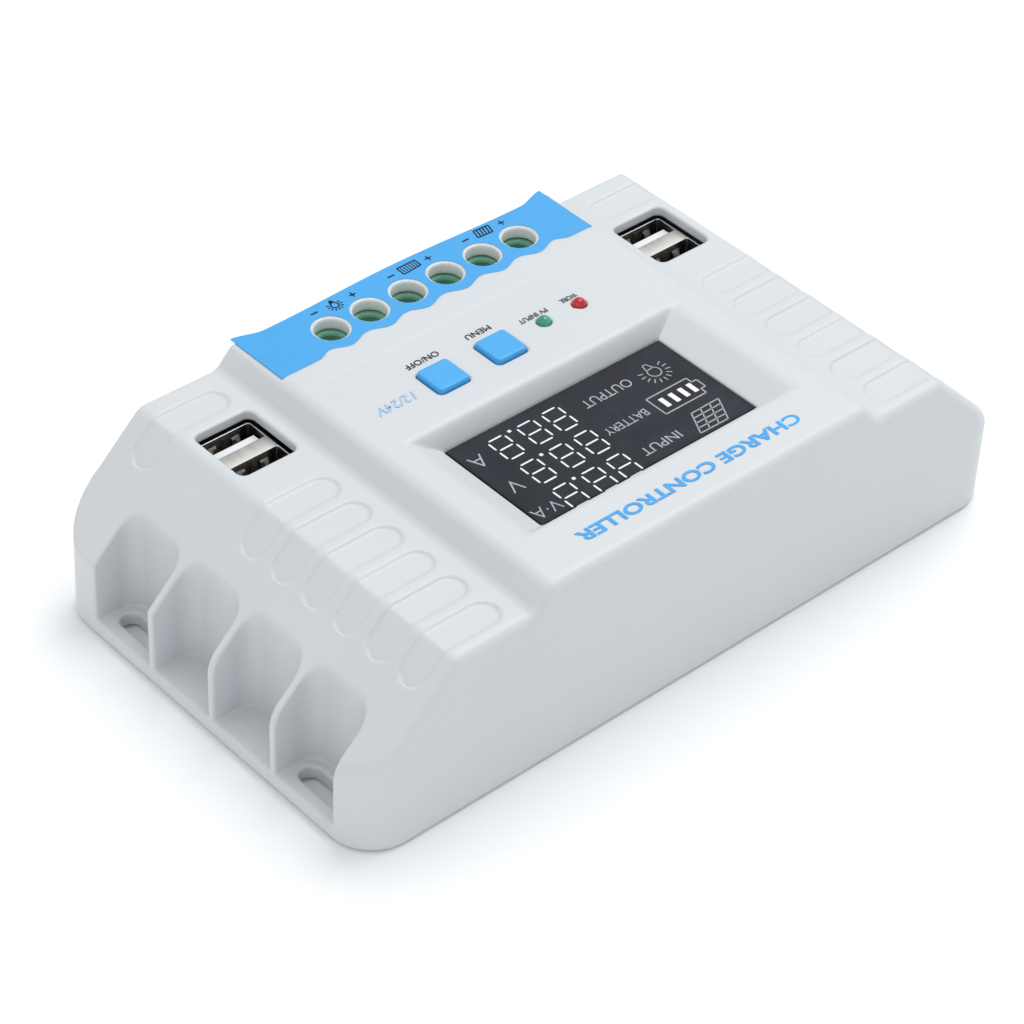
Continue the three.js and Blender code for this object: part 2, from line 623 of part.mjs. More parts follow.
function capacitor() {
  return union([rod(6, BOARD_TOP, 28), rod(5.6, 27.9, 28.4)]);
}

function choke() {
  const ring = new THREE.TorusGeometry(6.6, 2.9, 10, 24);
  ring.translate(0, 0, BOARD_TOP + 3);
  return toManifold(ring);
}

function microcontroller() {
  const chip = box(-5, 5, -5, 5, BOARD_TOP, BOARD_TOP + 1.4);
  const leads = CHIP_LEADS.flatMap((t) => [
    box(t - 0.2, t + 0.2, -6, 6, BOARD_TOP, BOARD_TOP + 0.3),
    box(-6, 6, t - 0.2, t + 0.2, BOARD_TOP, BOARD_TOP + 0.3),
  ]);
  return union([chip, ...leads]);
}

function linkHeader() {
  const top = DISPLAY_BOARD.z0 - GAP;
  const strips = [box(-12.7, 12.7, -1.3, 1.3, BOARD_TOP, 14), box(-12.7, 12.7, -1.3, 1.3, 26, top)];
  const pins = [...Array(10).keys()].map((i) => {
    const x = PIN_PITCH * (i - 4.5);
    return box(x - 0.32, x + 0.32, -0.32, 0.32, 13, 27);
  });
  return union([...strips, ...pins]);
}

function screw(headRadius, shankRadius, headZ, headHeight, tipZ) {
  const head = rod(headRadius, headZ, headZ + headHeight);
  const slots = [
    box(-headRadius * 0.6, headRadius * 0.6, -0.3, 0.3, headZ - 1, headZ + 0.7),
    box(-0.3, 0.3, -headRadius * 0.6, headRadius * 0.6, headZ - 1, headZ + 0.7),
  ];
  return cut(head.add(rod(shankRadius, headZ + headHeight - 0.2, tipZ)), slots);
}

add('main_board', mainBoard(), BOARD);
add('heatsink', heatsink(), ALUMINIUM);
[-30, -10, 10, 30].forEach((x, i) => add(`mosfet_${i + 1}`, mosfet(), BLACK_PLASTIC, x, 35));
const SLEEVE = { ...BLACK_PLASTIC, color: '#22304a' };
[-2, 14].forEach((y, i) => add(`capacitor_${i + 1}`, capacitor(), SLEEVE, -52, y));
add('choke', choke(), { color: '#b06a32', roughness: 0.35, metalness: 0.6 }, 52, 8);
add('microcontroller', microcontroller(), BLACK_PLASTIC, 0, -8);
add('link_header', linkHeader(), BLACK_PLASTIC, 0, 12);
COVER_SCREWS.forEach(([x, y], i) => add(`cover_screw_${i + 1}`, screw(2.7, 1.3, 0.1, 1.2, 12), STEEL, x, y));
BOARD_SCREWS.forEach(([x, y], i) => add(
  `board_screw_${i + 1}`,
  screw(2.4, 1.1, DISPLAY_BOARD.z0 - GAP - 1.4, 1.4, 39.5),
  STEEL,
  x,
  y,
));

export default model;
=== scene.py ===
import math

import bmesh
import bpy
import numpy as np
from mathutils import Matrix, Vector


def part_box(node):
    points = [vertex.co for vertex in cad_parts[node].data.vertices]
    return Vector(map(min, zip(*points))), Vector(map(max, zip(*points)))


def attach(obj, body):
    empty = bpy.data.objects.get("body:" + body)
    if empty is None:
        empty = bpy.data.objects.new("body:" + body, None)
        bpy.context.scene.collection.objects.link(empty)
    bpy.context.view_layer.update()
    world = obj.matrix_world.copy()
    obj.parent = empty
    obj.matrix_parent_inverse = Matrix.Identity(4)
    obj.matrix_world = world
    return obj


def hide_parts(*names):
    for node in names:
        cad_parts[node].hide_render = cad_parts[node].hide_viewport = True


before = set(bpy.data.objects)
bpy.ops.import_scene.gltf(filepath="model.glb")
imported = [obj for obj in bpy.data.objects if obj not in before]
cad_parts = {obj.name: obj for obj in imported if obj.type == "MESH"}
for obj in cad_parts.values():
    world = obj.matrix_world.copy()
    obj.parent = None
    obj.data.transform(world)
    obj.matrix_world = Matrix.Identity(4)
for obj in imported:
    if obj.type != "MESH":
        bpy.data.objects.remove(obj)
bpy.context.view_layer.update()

import openvdb
from mathutils import Matrix, Vector

# Sizes are in millimetres, and MM turns them into the frame's metres. Lights, floor and the
# depth of a bump are in metres.
MM = 0.001
ROOT = "housing"

# ---------------------------------------------------------------- camera and light
CAMERA_AZIMUTH = math.radians(136.68)
CAMERA_ELEVATION = math.radians(40.02)
CAMERA_ROLL = math.radians(2.64)
CAMERA_DISTANCE = 704.7
CAMERA_TARGET = Vector((-2.56, -10.8, 0))
CAMERA_LENS = 118.05


def make_camera():
    data = bpy.data.cameras.new("camera")
    data.lens = CAMERA_LENS
    data.sensor_width = 36
    data.clip_start = 0.01
    camera = bpy.data.objects.new("camera", data)
    bpy.context.scene.collection.objects.link(camera)
    flat = math.cos(CAMERA_ELEVATION)
    back = Vector((
        math.sin(CAMERA_AZIMUTH) * flat,
        -math.cos(CAMERA_AZIMUTH) * flat,
        math.sin(CAMERA_ELEVATION),
    ))
    right = (-back).cross(Vector((0, 0, 1))).normalized()
    up = right.cross(-back)
    turned_right = right * math.cos(CAMERA_ROLL) + up * math.sin(CAMERA_ROLL)
    turned_up = up * math.cos(CAMERA_ROLL) - right * math.sin(CAMERA_ROLL)
    rotation = Matrix((turned_right, turned_up, back)).transposed()
    place = (back * CAMERA_DISTANCE + CAMERA_TARGET) * MM
    camera.matrix_world = Matrix.Translation(place) @ rotation.to_4x4()
    bpy.context.scene.camera = camera


def area_light(name, place, target, size, power):
    data = bpy.data.lights.new(name, "AREA")
    data.shape = "SQUARE"
    data.size = size
    data.energy = power
    lamp = bpy.data.objects.new(name, data)
    bpy.context.scene.collection.objects.link(lamp)
    direction = Vector(target) - Vector(place)
    lamp.location = place
    lamp.rotation_euler = direction.to_track_quat("-Z", "Y").to_euler()


def make_stage():
    world = bpy.data.worlds.new("studio")
    bpy.context.scene.world = world
    world.use_nodes = True
    background = world.node_tree.nodes["Background"]
    background.inputs["Color"].default_value = (0.97, 0.985, 1.0, 1)
    background.inputs["Strength"].default_value = 0.78
    area_light("key_light", (-0.5, -0.1, 1.1), (0, 0, 0.02), 0.9, 7.5)
    area_light("fill_light", (0.9, 0.25, 0.6), (0, 0, 0.02), 0.8, 1.1)
    bpy.context.scene.view_settings.view_transform = "Standard"

    mesh = bpy.data.meshes.new("floor")
    reach, floor_z = 3.0, -0.0005
    corners = [(x * reach, y * reach, floor_z) for x, y in ((-1, -1), (1, -1), (1, 1), (-1, 1))]
    mesh.from_pydata(corners, [], [(0, 1, 2, 3)])
    floor = bpy.data.objects.new("floor", mesh)
    bpy.context.scene.collection.objects.link(floor)
    floor.data.materials.append(floor_material())


# ---------------------------------------------------------------- material helpers
class Nodes:
    """A new material with a Principled shader and a few shortcuts to wire nodes to it."""

    def __init__(self, name):
        self.material = bpy.data.materials.new(name)
        self.material.use_nodes = True
        self.tree = self.material.node_tree
        self.shader = self.tree.nodes["Principled BSDF"]

    def node(self, kind, **settings):
        made = self.tree.nodes.new(kind)
        for key, value in settings.items():
            made.inputs[key.replace("_", " ")].default_value = value
        return made

    def link(self, output, target):
        self.tree.links.new(output, target)

    def place(self):
        return self.node("ShaderNodeTexCoord").outputs["Object"]

    def noise(self, scale, detail=4.0, roughness=0.6):
        texture = self.node("ShaderNodeTexNoise", Scale=scale, Detail=detail, Roughness=roughness)
        self.link(self.place(), texture.inputs["Vector"])
        return texture.outputs["Fac"]

    def ramp(self, value, low, high, start=0.3, end=0.7):
        ramp = self.node("ShaderNodeValToRGB")
        ramp.color_ramp.elements[0].position = start
        ramp.color_ramp.elements[0].color = low
        ramp.color_ramp.elements[1].position = end
        ramp.color_ramp.elements[1].color = high
        self.link(value, ramp.inputs["Fac"])
        return ramp.outputs["Color"]

    def vary(self, socket, value, low, high, start=0.3, end=0.7):
        """Drives one socket of the shader between two colours."""
        self.link(self.ramp(value, low, high, start, end), self.shader.inputs[socket])

    def bump(self, height, strength, distance=0.0001):
        bump = self.node("ShaderNodeBump", Strength=strength, Distance=distance)
        self.link(height, bump.inputs["Height"])
        self.link(bump.outputs["Normal"], self.shader.inputs["Normal"])

    def set(self, **values):
        for key, value in values.items():
            self.shader.inputs[key.replace("_", " ")].default_value = value


def shade(colour, factor):
    return tuple(min(1, c * factor) for c in colour) + (1,)


def grey(value):
    return (value, value, value, 1)


def moulded(name, colour, roughness=0.42, grain=900, bump=0.12, spread=0.03):
    """Moulded plastic: slight colour drift, a fine spark-eroded grain and uneven gloss."""
    n = Nodes(name)
    n.vary("Base Color", n.noise(28, 3), shade(colour, 1 - spread), shade(colour, 1 + spread))
    fine = n.noise(grain, 2, 0.5)
    n.vary("Roughness", fine, grey(roughness - 0.05), grey(roughness + 0.06))
    n.bump(fine, bump, 0.00005)
    n.set(IOR=1.5)
    return n.material


def metal(name, colour, roughness=0.25, brushed=1500, bump=0.1):
    """Plated or drawn metal with fine uneven streaks."""
    n = Nodes(name)
    stretch = n.node("ShaderNodeMapping", Scale=(1, 0.12, 1))
    n.link(n.place(), stretch.inputs["Vector"])
    texture = n.node("ShaderNodeTexNoise", Scale=brushed, Detail=3)
    n.link(stretch.outputs["Vector"], texture.inputs["Vector"])
    streaks = texture.outputs["Fac"]
    n.vary("Base Color", streaks, shade(colour, 0.9), shade(colour, 1.05))
    n.vary("Roughness", streaks, grey(roughness - 0.06), grey(roughness + 0.1))
    n.bump(streaks, bump, 0.00003)
    n.set(Metallic=1.0)
    return n.material


def floor_material():
    n = Nodes("pale_floor")
    n.vary("Base Color", n.noise(3, 2), (0.93, 0.935, 0.94, 1), (0.95, 0.955, 0.96, 1))
    n.set(Roughness=0.8)
    return n.material


def circuit_board_material():
    n = Nodes("circuit_board")
    tracks = n.node(
        "ShaderNodeTexBrick", Scale=160, Mortar_Size=0.06,
        Color1=(0.008, 0.11, 0.04, 1), Color2=(0.01, 0.13, 0.05, 1), Mortar=(0.02, 0.22, 0.09, 1),
    )
    n.link(n.place(), tracks.inputs["Vector"])
    n.link(tracks.outputs["Color"], n.shader.inputs["Base Color"])
    n.bump(tracks.outputs["Fac"], 0.3)
    n.set(Roughness=0.35)
    return n.material


def lens_material(name, colour, glow):
    """Tinted epoxy of a lamp, lighter and darker inside like a real one."""
    n = Nodes(name)
    n.vary("Base Color", n.noise(700, 2), shade(colour, 0.75), shade(colour, 1.25))
    n.set(Roughness=0.12, IOR=1.53, Coat_Weight=0.15, Coat_Roughness=0.05)
    n.set(Subsurface_Weight=0.25, Subsurface_Radius=(0.0012, 0.0012, 0.0012))
    n.set(Emission_Color=(*colour, 1), Emission_Strength=glow)
    return n.material


def screen_material(name, colour):
    """Dark glass of the display: blue-black with faint smudges."""
    n = Nodes(name)
    n.vary("Base Color", n.noise(60, 4), shade(colour, 0.7), shade(colour, 1.3))
    n.vary("Roughness", n.noise(240, 5), grey(0.1), grey(0.2))
    n.set(IOR=1.38, Coat_Weight=0.04, Coat_Roughness=0.04)
    return n.material


def segment_material(name, colour, glow):
    n = Nodes(name)
    n.vary("Base Color", n.noise(900, 2), shade(colour, 0.92), shade(colour, 1.02))
    n.set(Roughness=0.35, Emission_Color=(*colour, 1), Emission_Strength=glow)
    return n.material


def ink_material(name, colour):
    n = Nodes(name)
    n.vary("Base Color", n.noise(1400, 3), shade(colour, 0.85), shade(colour, 1.1))
    n.vary("Roughness", n.noise(2000, 2), grey(0.4), grey(0.55))
    n.set(IOR=1.25)
    return n.material


HOUSING_WHITE = (0.60, 0.625, 0.645)


def shaded_slope_material(low_y, high_y):
    """Housing plastic of the frame's far slope, with painted shade: darker towards the display."""
    n = Nodes("frame_slope_painted_shade")
    split = n.node("ShaderNodeSeparateXYZ")
    n.link(n.place(), split.inputs["Vector"])
    # Painted shade: the colour darkens from the slope's top edge down to the display, in place of the
    # recess's shade.
    rise = n.node("ShaderNodeMapRange", From_Min=high_y * MM, From_Max=low_y * MM)
    n.link(split.outputs["Y"], rise.inputs["Value"])
    dark, bright = shade(HOUSING_WHITE, 0.64), shade(HOUSING_WHITE, 0.98)
    n.vary("Base Color", rise.outputs["Result"], dark, bright, 0, 1)
    n.bump(n.noise(1100, 2, 0.5), 0.1, 0.00005)
    n.set(Roughness=0.42, IOR=1.5)
    return n.material


BLUE = (0.043, 0.345, 0.735)
materials = {
    "housing": moulded("housing_abs", HOUSING_WHITE, 0.4, 1100, 0.1, 0.012),
    "cover": moulded("cover_abs", (0.70, 0.735, 0.765), 0.45, 1100, 0.15, 0.02),
    "label": moulded("label_film", BLUE, 0.38, 2200, 0.06, 0.02),
    "button": moulded("button_abs", (0.05, 0.37, 0.765), 0.36, 1500, 0.08, 0.02),
    "terminal": moulded("terminal_polyamide", (0.24, 0.51, 0.37), 0.45, 1300, 0.2, 0.06),
    "white": moulded("white_plastic", (0.80, 0.815, 0.84), 0.35, 1500, 0.1, 0.02),
    "black": moulded("black_plastic", (0.02, 0.02, 0.022), 0.45, 1500, 0.2, 0.1),
    "sleeve": moulded("capacitor_sleeve", (0.012, 0.02, 0.06), 0.3, 900, 0.1, 0.1),
    "steel": metal("nickel_plate", (0.62, 0.62, 0.61), 0.2),
    "brass": metal("contact_brass", (0.62, 0.42, 0.14), 0.25),
    "gold": metal("contact_gold", (0.83, 0.6, 0.22), 0.2),
    "aluminium": metal("heatsink_aluminium", (0.55, 0.56, 0.58), 0.35),
    "copper": metal("choke_winding", (0.5, 0.19, 0.05), 0.3),
    "board": circuit_board_material(),
    # Painted light: a lighter copy of the housing plastic, for the walls inside the screw holes.
    "painted_light_wall": moulded("hole_wall_painted_light", (0.73, 0.755, 0.745), 0.4, 1100, 0.1, 0.012),
    # Painted shade: a dark steel for the USB sockets' floor and deep inner walls.
    "painted_shade_steel": metal("inner_steel_painted_shade", (0.16, 0.155, 0.15), 0.3),
    "satin_steel": metal("satin_steel", (0.5, 0.49, 0.47), 0.46, 700, 0.06),
    "green_lens": lens_material("green_lens", (0.035, 0.29, 0.165), 0.07),
    "red_lens": lens_material("red_lens", (0.46, 0.006, 0.006), 0.06),
    "screen": screen_material("display_glass", (0.011, 0.0135, 0.023)),
    "mask": screen_material("display_border", (0.008, 0.0095, 0.016)),
    "digit": segment_material("lit_segment", (0.74, 0.75, 0.73), 0.14),
    "legend": segment_material("legend_segment", (0.34, 0.35, 0.37), 0.06),
    "black_ink": ink_material("black_ink", (0.014, 0.014, 0.018)),
    "grey_ink": ink_material("grey_ink", (0.10, 0.105, 0.12)),
    "blue_ink": ink_material("blue_ink", (0.07, 0.38, 0.82)),
    "pale_ink": ink_material("pale_ink", (0.36, 0.56, 0.78)),
}


# ---------------------------------------------------------------- piece helpers
def finish_piece(piece, material, body=ROOT, replaces=(), smooth=None):
    if not piece.data.materials:
        piece.data.materials.append(materials[material])
    if smooth is not None:
        piece.data.shade_smooth()
        piece.data.set_sharp_from_angle(angle=math.radians(smooth))
    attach(piece, body)
    if replaces:
        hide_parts(*replaces)
    return piece


def mesh_object(name, mesh):
    piece = bpy.data.objects.new(name, mesh)
    bpy.context.scene.collection.objects.link(piece)
    return piece


def from_bmesh(name, bm):
    mesh = bpy.data.meshes.new(name)
    bmesh.ops.recalc_face_normals(bm, faces=bm.faces)
    bm.to_mesh(mesh)
    bm.free()
    return mesh_object(name, mesh)


def modified(piece):
    """Replaces the piece's mesh by its mesh with the modifiers applied."""
    depsgraph = bpy.context.evaluated_depsgraph_get()
    mesh = bpy.data.meshes.new_from_object(piece.evaluated_get(depsgraph))
    piece.modifiers.clear()
    piece.data = mesh
    return piece


def joined(pieces, name):
    """One object from several, each kept as a closed part of the new mesh."""
    bm = bmesh.new()
    slots = []
    for piece in pieces:
        mesh = piece.data.copy()
        mesh.transform(piece.matrix_world)
        offset = []
        for material in piece.data.materials:
            if material not in slots:
                slots.append(material)
            offset.append(slots.index(material))
        start = len(bm.faces)
        bm.from_mesh(mesh)
        bm.faces.ensure_lookup_table()
        for face in bm.faces[start:]:
            if offset:
                face.material_index = offset[min(face.material_index, len(offset) - 1)]
        bpy.data.meshes.remove(mesh)
        bpy.data.objects.remove(piece)
    mesh = bpy.data.meshes.new(name)
    bm.to_mesh(mesh)
    bm.free()
    for material in slots:
        mesh.materials.append(material)
    return mesh_object(name, mesh)


def curve_plate(name, outlines, z0, z1, edge=0.0, steps=2):
    """Flat plate from closed outlines (the first is the border, the rest are holes)."""
    curve = bpy.data.curves.new(name, "CURVE")
    curve.dimensions = "2D"
    curve.fill_mode = "BOTH"
    curve.extrude = ((z1 - z0) / 2 - edge) * MM
    curve.bevel_depth = edge * MM
    curve.bevel_resolution = steps
    curve.offset = -edge * MM
    for outline in outlines:
        spline = curve.splines.new("POLY")
        spline.points.add(len(outline) - 1)
        for point, (x, y) in zip(spline.points, outline):
            point.co = (x * MM, y * MM, 0, 1)
        spline.use_cyclic_u = True
    return plate_from_curve(name, curve, (z0 + z1) / 2)


def plate_from_curve(name, curve, z):
    shape = bpy.data.objects.new(name + "_curve", curve)
    bpy.context.scene.collection.objects.link(shape)
    depsgraph = bpy.context.evaluated_depsgraph_get()
    mesh = bpy.data.meshes.new_from_object(shape.evaluated_get(depsgraph))
    bpy.data.objects.remove(shape)
    mesh.transform(Matrix.Translation((0, 0, z * MM)))
    bm = bmesh.new()
    bm.from_mesh(mesh)
    bmesh.ops.remove_doubles(bm, verts=bm.verts, dist=1e-7)
    bmesh.ops.recalc_face_normals(bm, faces=bm.faces)
    bm.to_mesh(mesh)
    bm.free()
    mesh.materials.clear()
    return mesh_object(name, mesh)


def rounded_outline(width, depth, radius, x=0.0, y=0.0, steps=8):
    points = []
    for quarter, (sx, sy) in enumerate([(1, -1), (1, 1), (-1, 1), (-1, -1)]):
        for i in range(steps + 1):
            turn = math.pi / 2 * (quarter - 1 + i / steps)
            points.append((
                x + sx * (width / 2 - radius) + radius * math.cos(turn),
                y + sy * (depth / 2 - radius) + radius * math.sin(turn),
            ))
    return points


def words(name, text, x, y, height, z, thickness=0.03, width=None, bold=0.0, turn=0.0):
    """Raised print: x, y is the middle of the text, height its capital height."""
    curve = bpy.data.curves.new(name, "FONT")
    curve.body = text
    curve.align_x = "CENTER"
    curve.align_y = "CENTER"
    curve.size = height * MM / 0.7
    curve.extrude = thickness * MM / 2
    curve.offset = bold * MM
    curve.resolution_u = 4
    piece = plate_from_curve(name, curve, 0)
    span = max(v.co.x for v in piece.data.vertices) - min(v.co.x for v in piece.data.vertices)
    stretch = width * MM / span if width else 1
    middle = (max(v.co.y for v in piece.data.vertices) + min(v.co.y for v in piece.data.vertices)) / 2
    piece.data.transform(Matrix.Translation((0, -middle, 0)))
    piece.data.transform(Matrix.Diagonal((stretch, 1, 1, 1)))
    piece.data.transform(Matrix.Rotation(turn, 4, "Z"))
    piece.data.transform(Matrix.Translation((x * MM, y * MM, (z + thickness / 2) * MM)))
    return piece


def block(x0, x1, y0, y1, z0, z1, name="block", edge=0.0, steps=2):
    bm = bmesh.new()
    bmesh.ops.create_cube(bm, size=1)
    bmesh.ops.scale(bm, verts=bm.verts, vec=((x1 - x0) * MM, (y1 - y0) * MM, (z1 - z0) * MM))
    middle = Vector((x0 + x1, y0 + y1, z0 + z1)) * MM / 2
    bmesh.ops.translate(bm, verts=bm.verts, vec=middle)
    if edge:
        bmesh.ops.bevel(bm, geom=bm.edges[:], offset=edge * MM, segments=steps, profile=0.5, affect="EDGES")
    return from_bmesh(name, bm)


def lathe(name, profile, x=0.0, y=0.0, sides=48):
    """Turns (radius, z) points about the upright axis through x, y."""
    bm = bmesh.new()
    rings = []
    for radius, z in profile:
        if radius == 0:
            rings.append([bm.verts.new((x * MM, y * MM, z * MM))])
            continue
        turns = [2 * math.pi * i / sides for i in range(sides)]
        rings.append([bm.verts.new((
            (x + radius * math.cos(t)) * MM,
            (y + radius * math.sin(t)) * MM,
            z * MM,
        )) for t in turns])
    for low, high in zip(rings, rings[1:]):
        for i in range(sides):
            j = (i + 1) % sides
            if len(low) == 1:
                bm.faces.new((low[0], high[j], high[i]))
            elif len(high) == 1:
                bm.faces.new((low[i], low[j], high[0]))
            else:
                bm.faces.new((low[i], low[j], high[j], high[i]))
    return from_bmesh(name, bm)


def cut_away(piece, tools):
    for tool in tools:
        boolean = piece.modifiers.new("cut", "BOOLEAN")
        boolean.operation = "DIFFERENCE"
        boolean.solver = "EXACT"
        boolean.object = tool
    modified(piece)
    for tool in tools:
        bpy.data.objects.remove(tool)
    return piece


def middle_mm(node):
    low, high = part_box(node)
    return (low + high) / 2 / MM


# ---------------------------------------------------------------- housing
low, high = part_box("front_housing")
HALF_LENGTH = high.x / MM
HALF_WIDTH = high.y / MM
PLATEAU_Z = high.z / MM
END_HEIGHT = 18
SHOULDER_Z = 39.5
SHOULDER_OUTER_X = 65.3
SHOULDER_INNER_X = 46.2
PLATEAU_X = 42.1
CORNER_RADIUS = 10
TERMINAL_SIDE_DRAFT = 0.028
WALL = 2.5
CAVITY_X = 73
CAVITY_Y = (-43.8, 46.2)

POCKET_YS = (-26.3, -7.4, 11.5, 30.4)
POCKET = {"half": 8.6, "back_x": 76.9, "radius": 4}
FLANGE_HEIGHT = 3.5
SLOT_X = 81.4
SLOT_WIDTH = 4.6
SLOT_LENGTH = 13.5

POLES = [middle_mm(f"terminal_screw_{i + 1}").x for i in range(6)]
POLE_Y = middle_mm("terminal_screw_1").y
POLE_PITCH = POLES[0] - POLES[1]
SCREW_HOLE_RADIUS = 3.6
COLLAR_RADIUS = 4.6
COLLAR_FOOT = 41.2
USB_MOUTH = {"half_x": 7.05, "half_y": 7.95, "radius": 1.6}
BUTTON_HOLE = {"half": 4.15, "radius": 1.1}
LAMP_HOLE_RADIUS = 1.62
SETBACK = {"middle": 0.9, "side": 1.85, "side_x": 33, "blend_x": (34.5, 42)}
WIRE_HOLE_Z = (13, 22)

window_low, window_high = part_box("display_window")
WINDOW_Z = window_high.z / MM
WINDOW_X = window_high.x / MM + 0.3
WINDOW_Y = (window_low.y / MM - 0.3, window_high.y / MM + 0.3)
BEZEL_X = 36.2
BEZEL_Y = (-0.9, 34.5)
BUTTONS = {"on_off": middle_mm("button_on_off"), "menu": middle_mm("button_menu")}
LAMPS = {"pv": middle_mm("led_pv"), "work": middle_mm("led_work")}
USB = {"a": middle_mm("usb_shell_a"), "b": middle_mm("usb_shell_b")}
PAD_YS = [41.8 - 9.36 * i for i in range(6)] + [-39.6]
PAD_DEPTH = 0.55
EDGE_ROUND = 2.2
TERMINAL_EDGE_ROUND = 0.3
LABEL_DEPTH = 0.25
LABEL_MARGIN = 0.35
LABEL_X = 41.7
LABEL_EDGE = 0.12
LABEL_NEAR_Y = -31.9
LABEL_WAVE_Y = -32.5
LABEL_WAVE = 0.75
CREASE = {"y": -26.2, "x": (-28, 43), "depth": 0.1}


def near_edge(x):
    """The wavy edge of the label between the terminal holes and the buttons."""
    first, last = POLES[0] + POLE_PITCH / 2, POLES[-1] - POLE_PITCH / 2
    wave = LABEL_WAVE_Y + LABEL_WAVE * np.cos(2 * np.pi * (POLES[0] - x) / POLE_PITCH)
    beyond = np.maximum(np.maximum(x - first, last - x), 0)
    return wave + (LABEL_NEAR_Y - wave) * np.minimum(beyond / 4, 1)


def smooth_step(t):
    t = np.clip(t, 0, 1)
    return t * t * (3 - 2 * t)


def label_offset(x, y, z):
    """Depth of the label's shallow bed, and of the faint step beside the buttons."""
    edge = np.maximum(y - near_edge(x), np.abs(x) - LABEL_X)
    bed = smooth_step((LABEL_MARGIN + 0.3 - edge) / 0.6) * LABEL_DEPTH
    beside = np.maximum(x - CREASE["x"][1], CREASE["x"][0] - x)
    step = smooth_step((y - CREASE["y"]) / 0.8) * smooth_step(-beside / 6) * CREASE["depth"]
    return (bed + step * smooth_step((SHOULDER_INNER_X - np.abs(x)) / 2)) * (z > SHOULDER_Z + 1)


def terminal_wall(x):
    """Place in Y of the bowed terminal wall, with its S-curves at both ends."""
    side = np.abs(x)
    bow = SETBACK["middle"] + (SETBACK["side"] - SETBACK["middle"]) * smooth_step(side / SETBACK["side_x"])
    start, end = SETBACK["blend_x"]
    return -HALF_WIDTH + bow * (1 - smooth_step((side - start) / (end - start)))


def meet(a, b, radius):
    """Distance to the overlap of two solids, with the edge between them rounded."""
    inner = np.minimum(-radius, np.maximum(a, b))
    return inner + np.hypot(np.maximum(radius + a, 0), np.maximum(radius + b, 0))


def merge(a, b, radius):
    return -meet(-a, -b, radius)


def rectangle_distance(x, y, half_x, half_y, radius):
    """Distance in a plane to a rectangle with rounded corners about the origin."""
    dx = np.abs(x) - half_x + radius
    dy = np.abs(y) - half_y + radius
    outside = np.hypot(np.maximum(dx, 0), np.maximum(dy, 0))
    return outside + np.minimum(np.maximum(dx, dy), 0) - radius


class Field:
    """Distance to the housing's surface on a regular grid, in millimetres."""

    def __init__(self, step):
        self.step = step
        low_corner = (-HALF_LENGTH - 2, -HALF_WIDTH - 2, -2)
        high_corner = (HALF_LENGTH + 2, HALF_WIDTH + 2, PLATEAU_Z + 2)
        axes = [np.arange(a, b, step, dtype=np.float32) for a, b in zip(low_corner, high_corner)]
        self.axes = axes
        self.x = axes[0][:, None, None]
        self.y = axes[1][None, :, None]
        self.z = axes[2][None, None, :]
        self.low = low_corner
        self.values = None

    def window(self, box):
        """Slices of the grid that hold a box of (low, high) pairs, and its coordinates."""
        parts = []
        for axis, (a, b) in zip(self.axes, box):
            parts.append(slice(int(np.searchsorted(axis, a)), int(np.searchsorted(axis, b))))
        sx, sy, sz = parts
        return (sx, sy, sz), (self.x[sx], self.y[:, sy], self.z[:, :, sz])

    def cut(self, box, tool, radius):
        """Takes a tool away inside a box: tool(x, y, z) is the distance to it."""
        grown = [(a - radius - 1, b + radius + 1) for a, b in box]
        part, (x, y, z) = self.window(grown)
        self.values[part] = meet(self.values[part], -tool(x, y, z), radius)

    def add(self, box, tool, radius):
        grown = [(a - radius - 1, b + radius + 1) for a, b in box]
        part, (x, y, z) = self.window(grown)
        self.values[part] = merge(self.values[part], tool(x, y, z), radius)

    def mesh(self, name):
        grid = openvdb.FloatGrid(4.0)
        clipped = np.clip(self.values, -4.0, 4.0).astype(np.float32)
        grid.copyFromArray(clipped)
        points, quads = grid.convertToQuads(isovalue=0.0)
        points = (points * self.step + np.array(self.low)) * MM
        mesh = bpy.data.meshes.new(name)
        mesh.vertices.add(len(points))
        mesh.vertices.foreach_set("co", points.astype(np.float32).ravel())
        mesh.loops.add(len(quads) * 4)
        mesh.loops.foreach_set("vertex_index", quads.astype(np.int32).ravel())
        mesh.polygons.add(len(quads))
        mesh.polygons.foreach_set("loop_start", np.arange(0, len(quads) * 4, 4, dtype=np.int32))
        mesh.update(calc_edges=True)
        mesh.validate()
        return mesh


def outer_profile(x, z):
    """Distance in the XZ plane to the top outline: slope, shoulder and plateau."""
    side = np.abs(x)
    run, rise = HALF_LENGTH - SHOULDER_OUTER_X, SHOULDER_Z - END_HEIGHT
    slope = ((side - HALF_LENGTH) * rise + (z - END_HEIGHT) * run) / math.hypot(run, rise)
    base = meet(slope, z - SHOULDER_Z, 0.8)
    run, rise = SHOULDER_INNER_X - PLATEAU_X, PLATEAU_Z - SHOULDER_Z
    flank = ((side - PLATEAU_X) * rise + (z - PLATEAU_Z) * run) / math.hypot(run, rise)
    plateau = meet(flank, z - PLATEAU_Z, 1.2)
    return merge(base, plateau, 0.9)


def outer_plan(x, y, z):
    """Distance at one height to the rounded rectangle, drafted and set back on the terminal side."""
    lean = TERMINAL_SIDE_DRAFT * z * (1 - y / HALF_WIDTH) / 2
    body = rectangle_distance(x, y - lean, HALF_LENGTH, HALF_WIDTH, CORNER_RADIUS)
    return np.maximum(body, terminal_wall(x) - y)


def cavity(x, y, z):
    middle = (CAVITY_Y[0] + CAVITY_Y[1]) / 2
    half = (CAVITY_Y[1] - CAVITY_Y[0]) / 2
    plan = rectangle_distance(x, y - middle, CAVITY_X, half, 3.3)
    return np.maximum(plan, outer_profile(x, z) + WALL)


def pocket(side, middle):
    def tool(x, y, z):
        depth = HALF_LENGTH + 10 - POCKET["back_x"]
        along = side * x - POCKET["back_x"] - depth / 2
        plan = rectangle_distance(along, y - middle, depth / 2, POCKET["half"], POCKET["radius"])
        return meet(plan, FLANGE_HEIGHT - z, 0.3)
    return tool


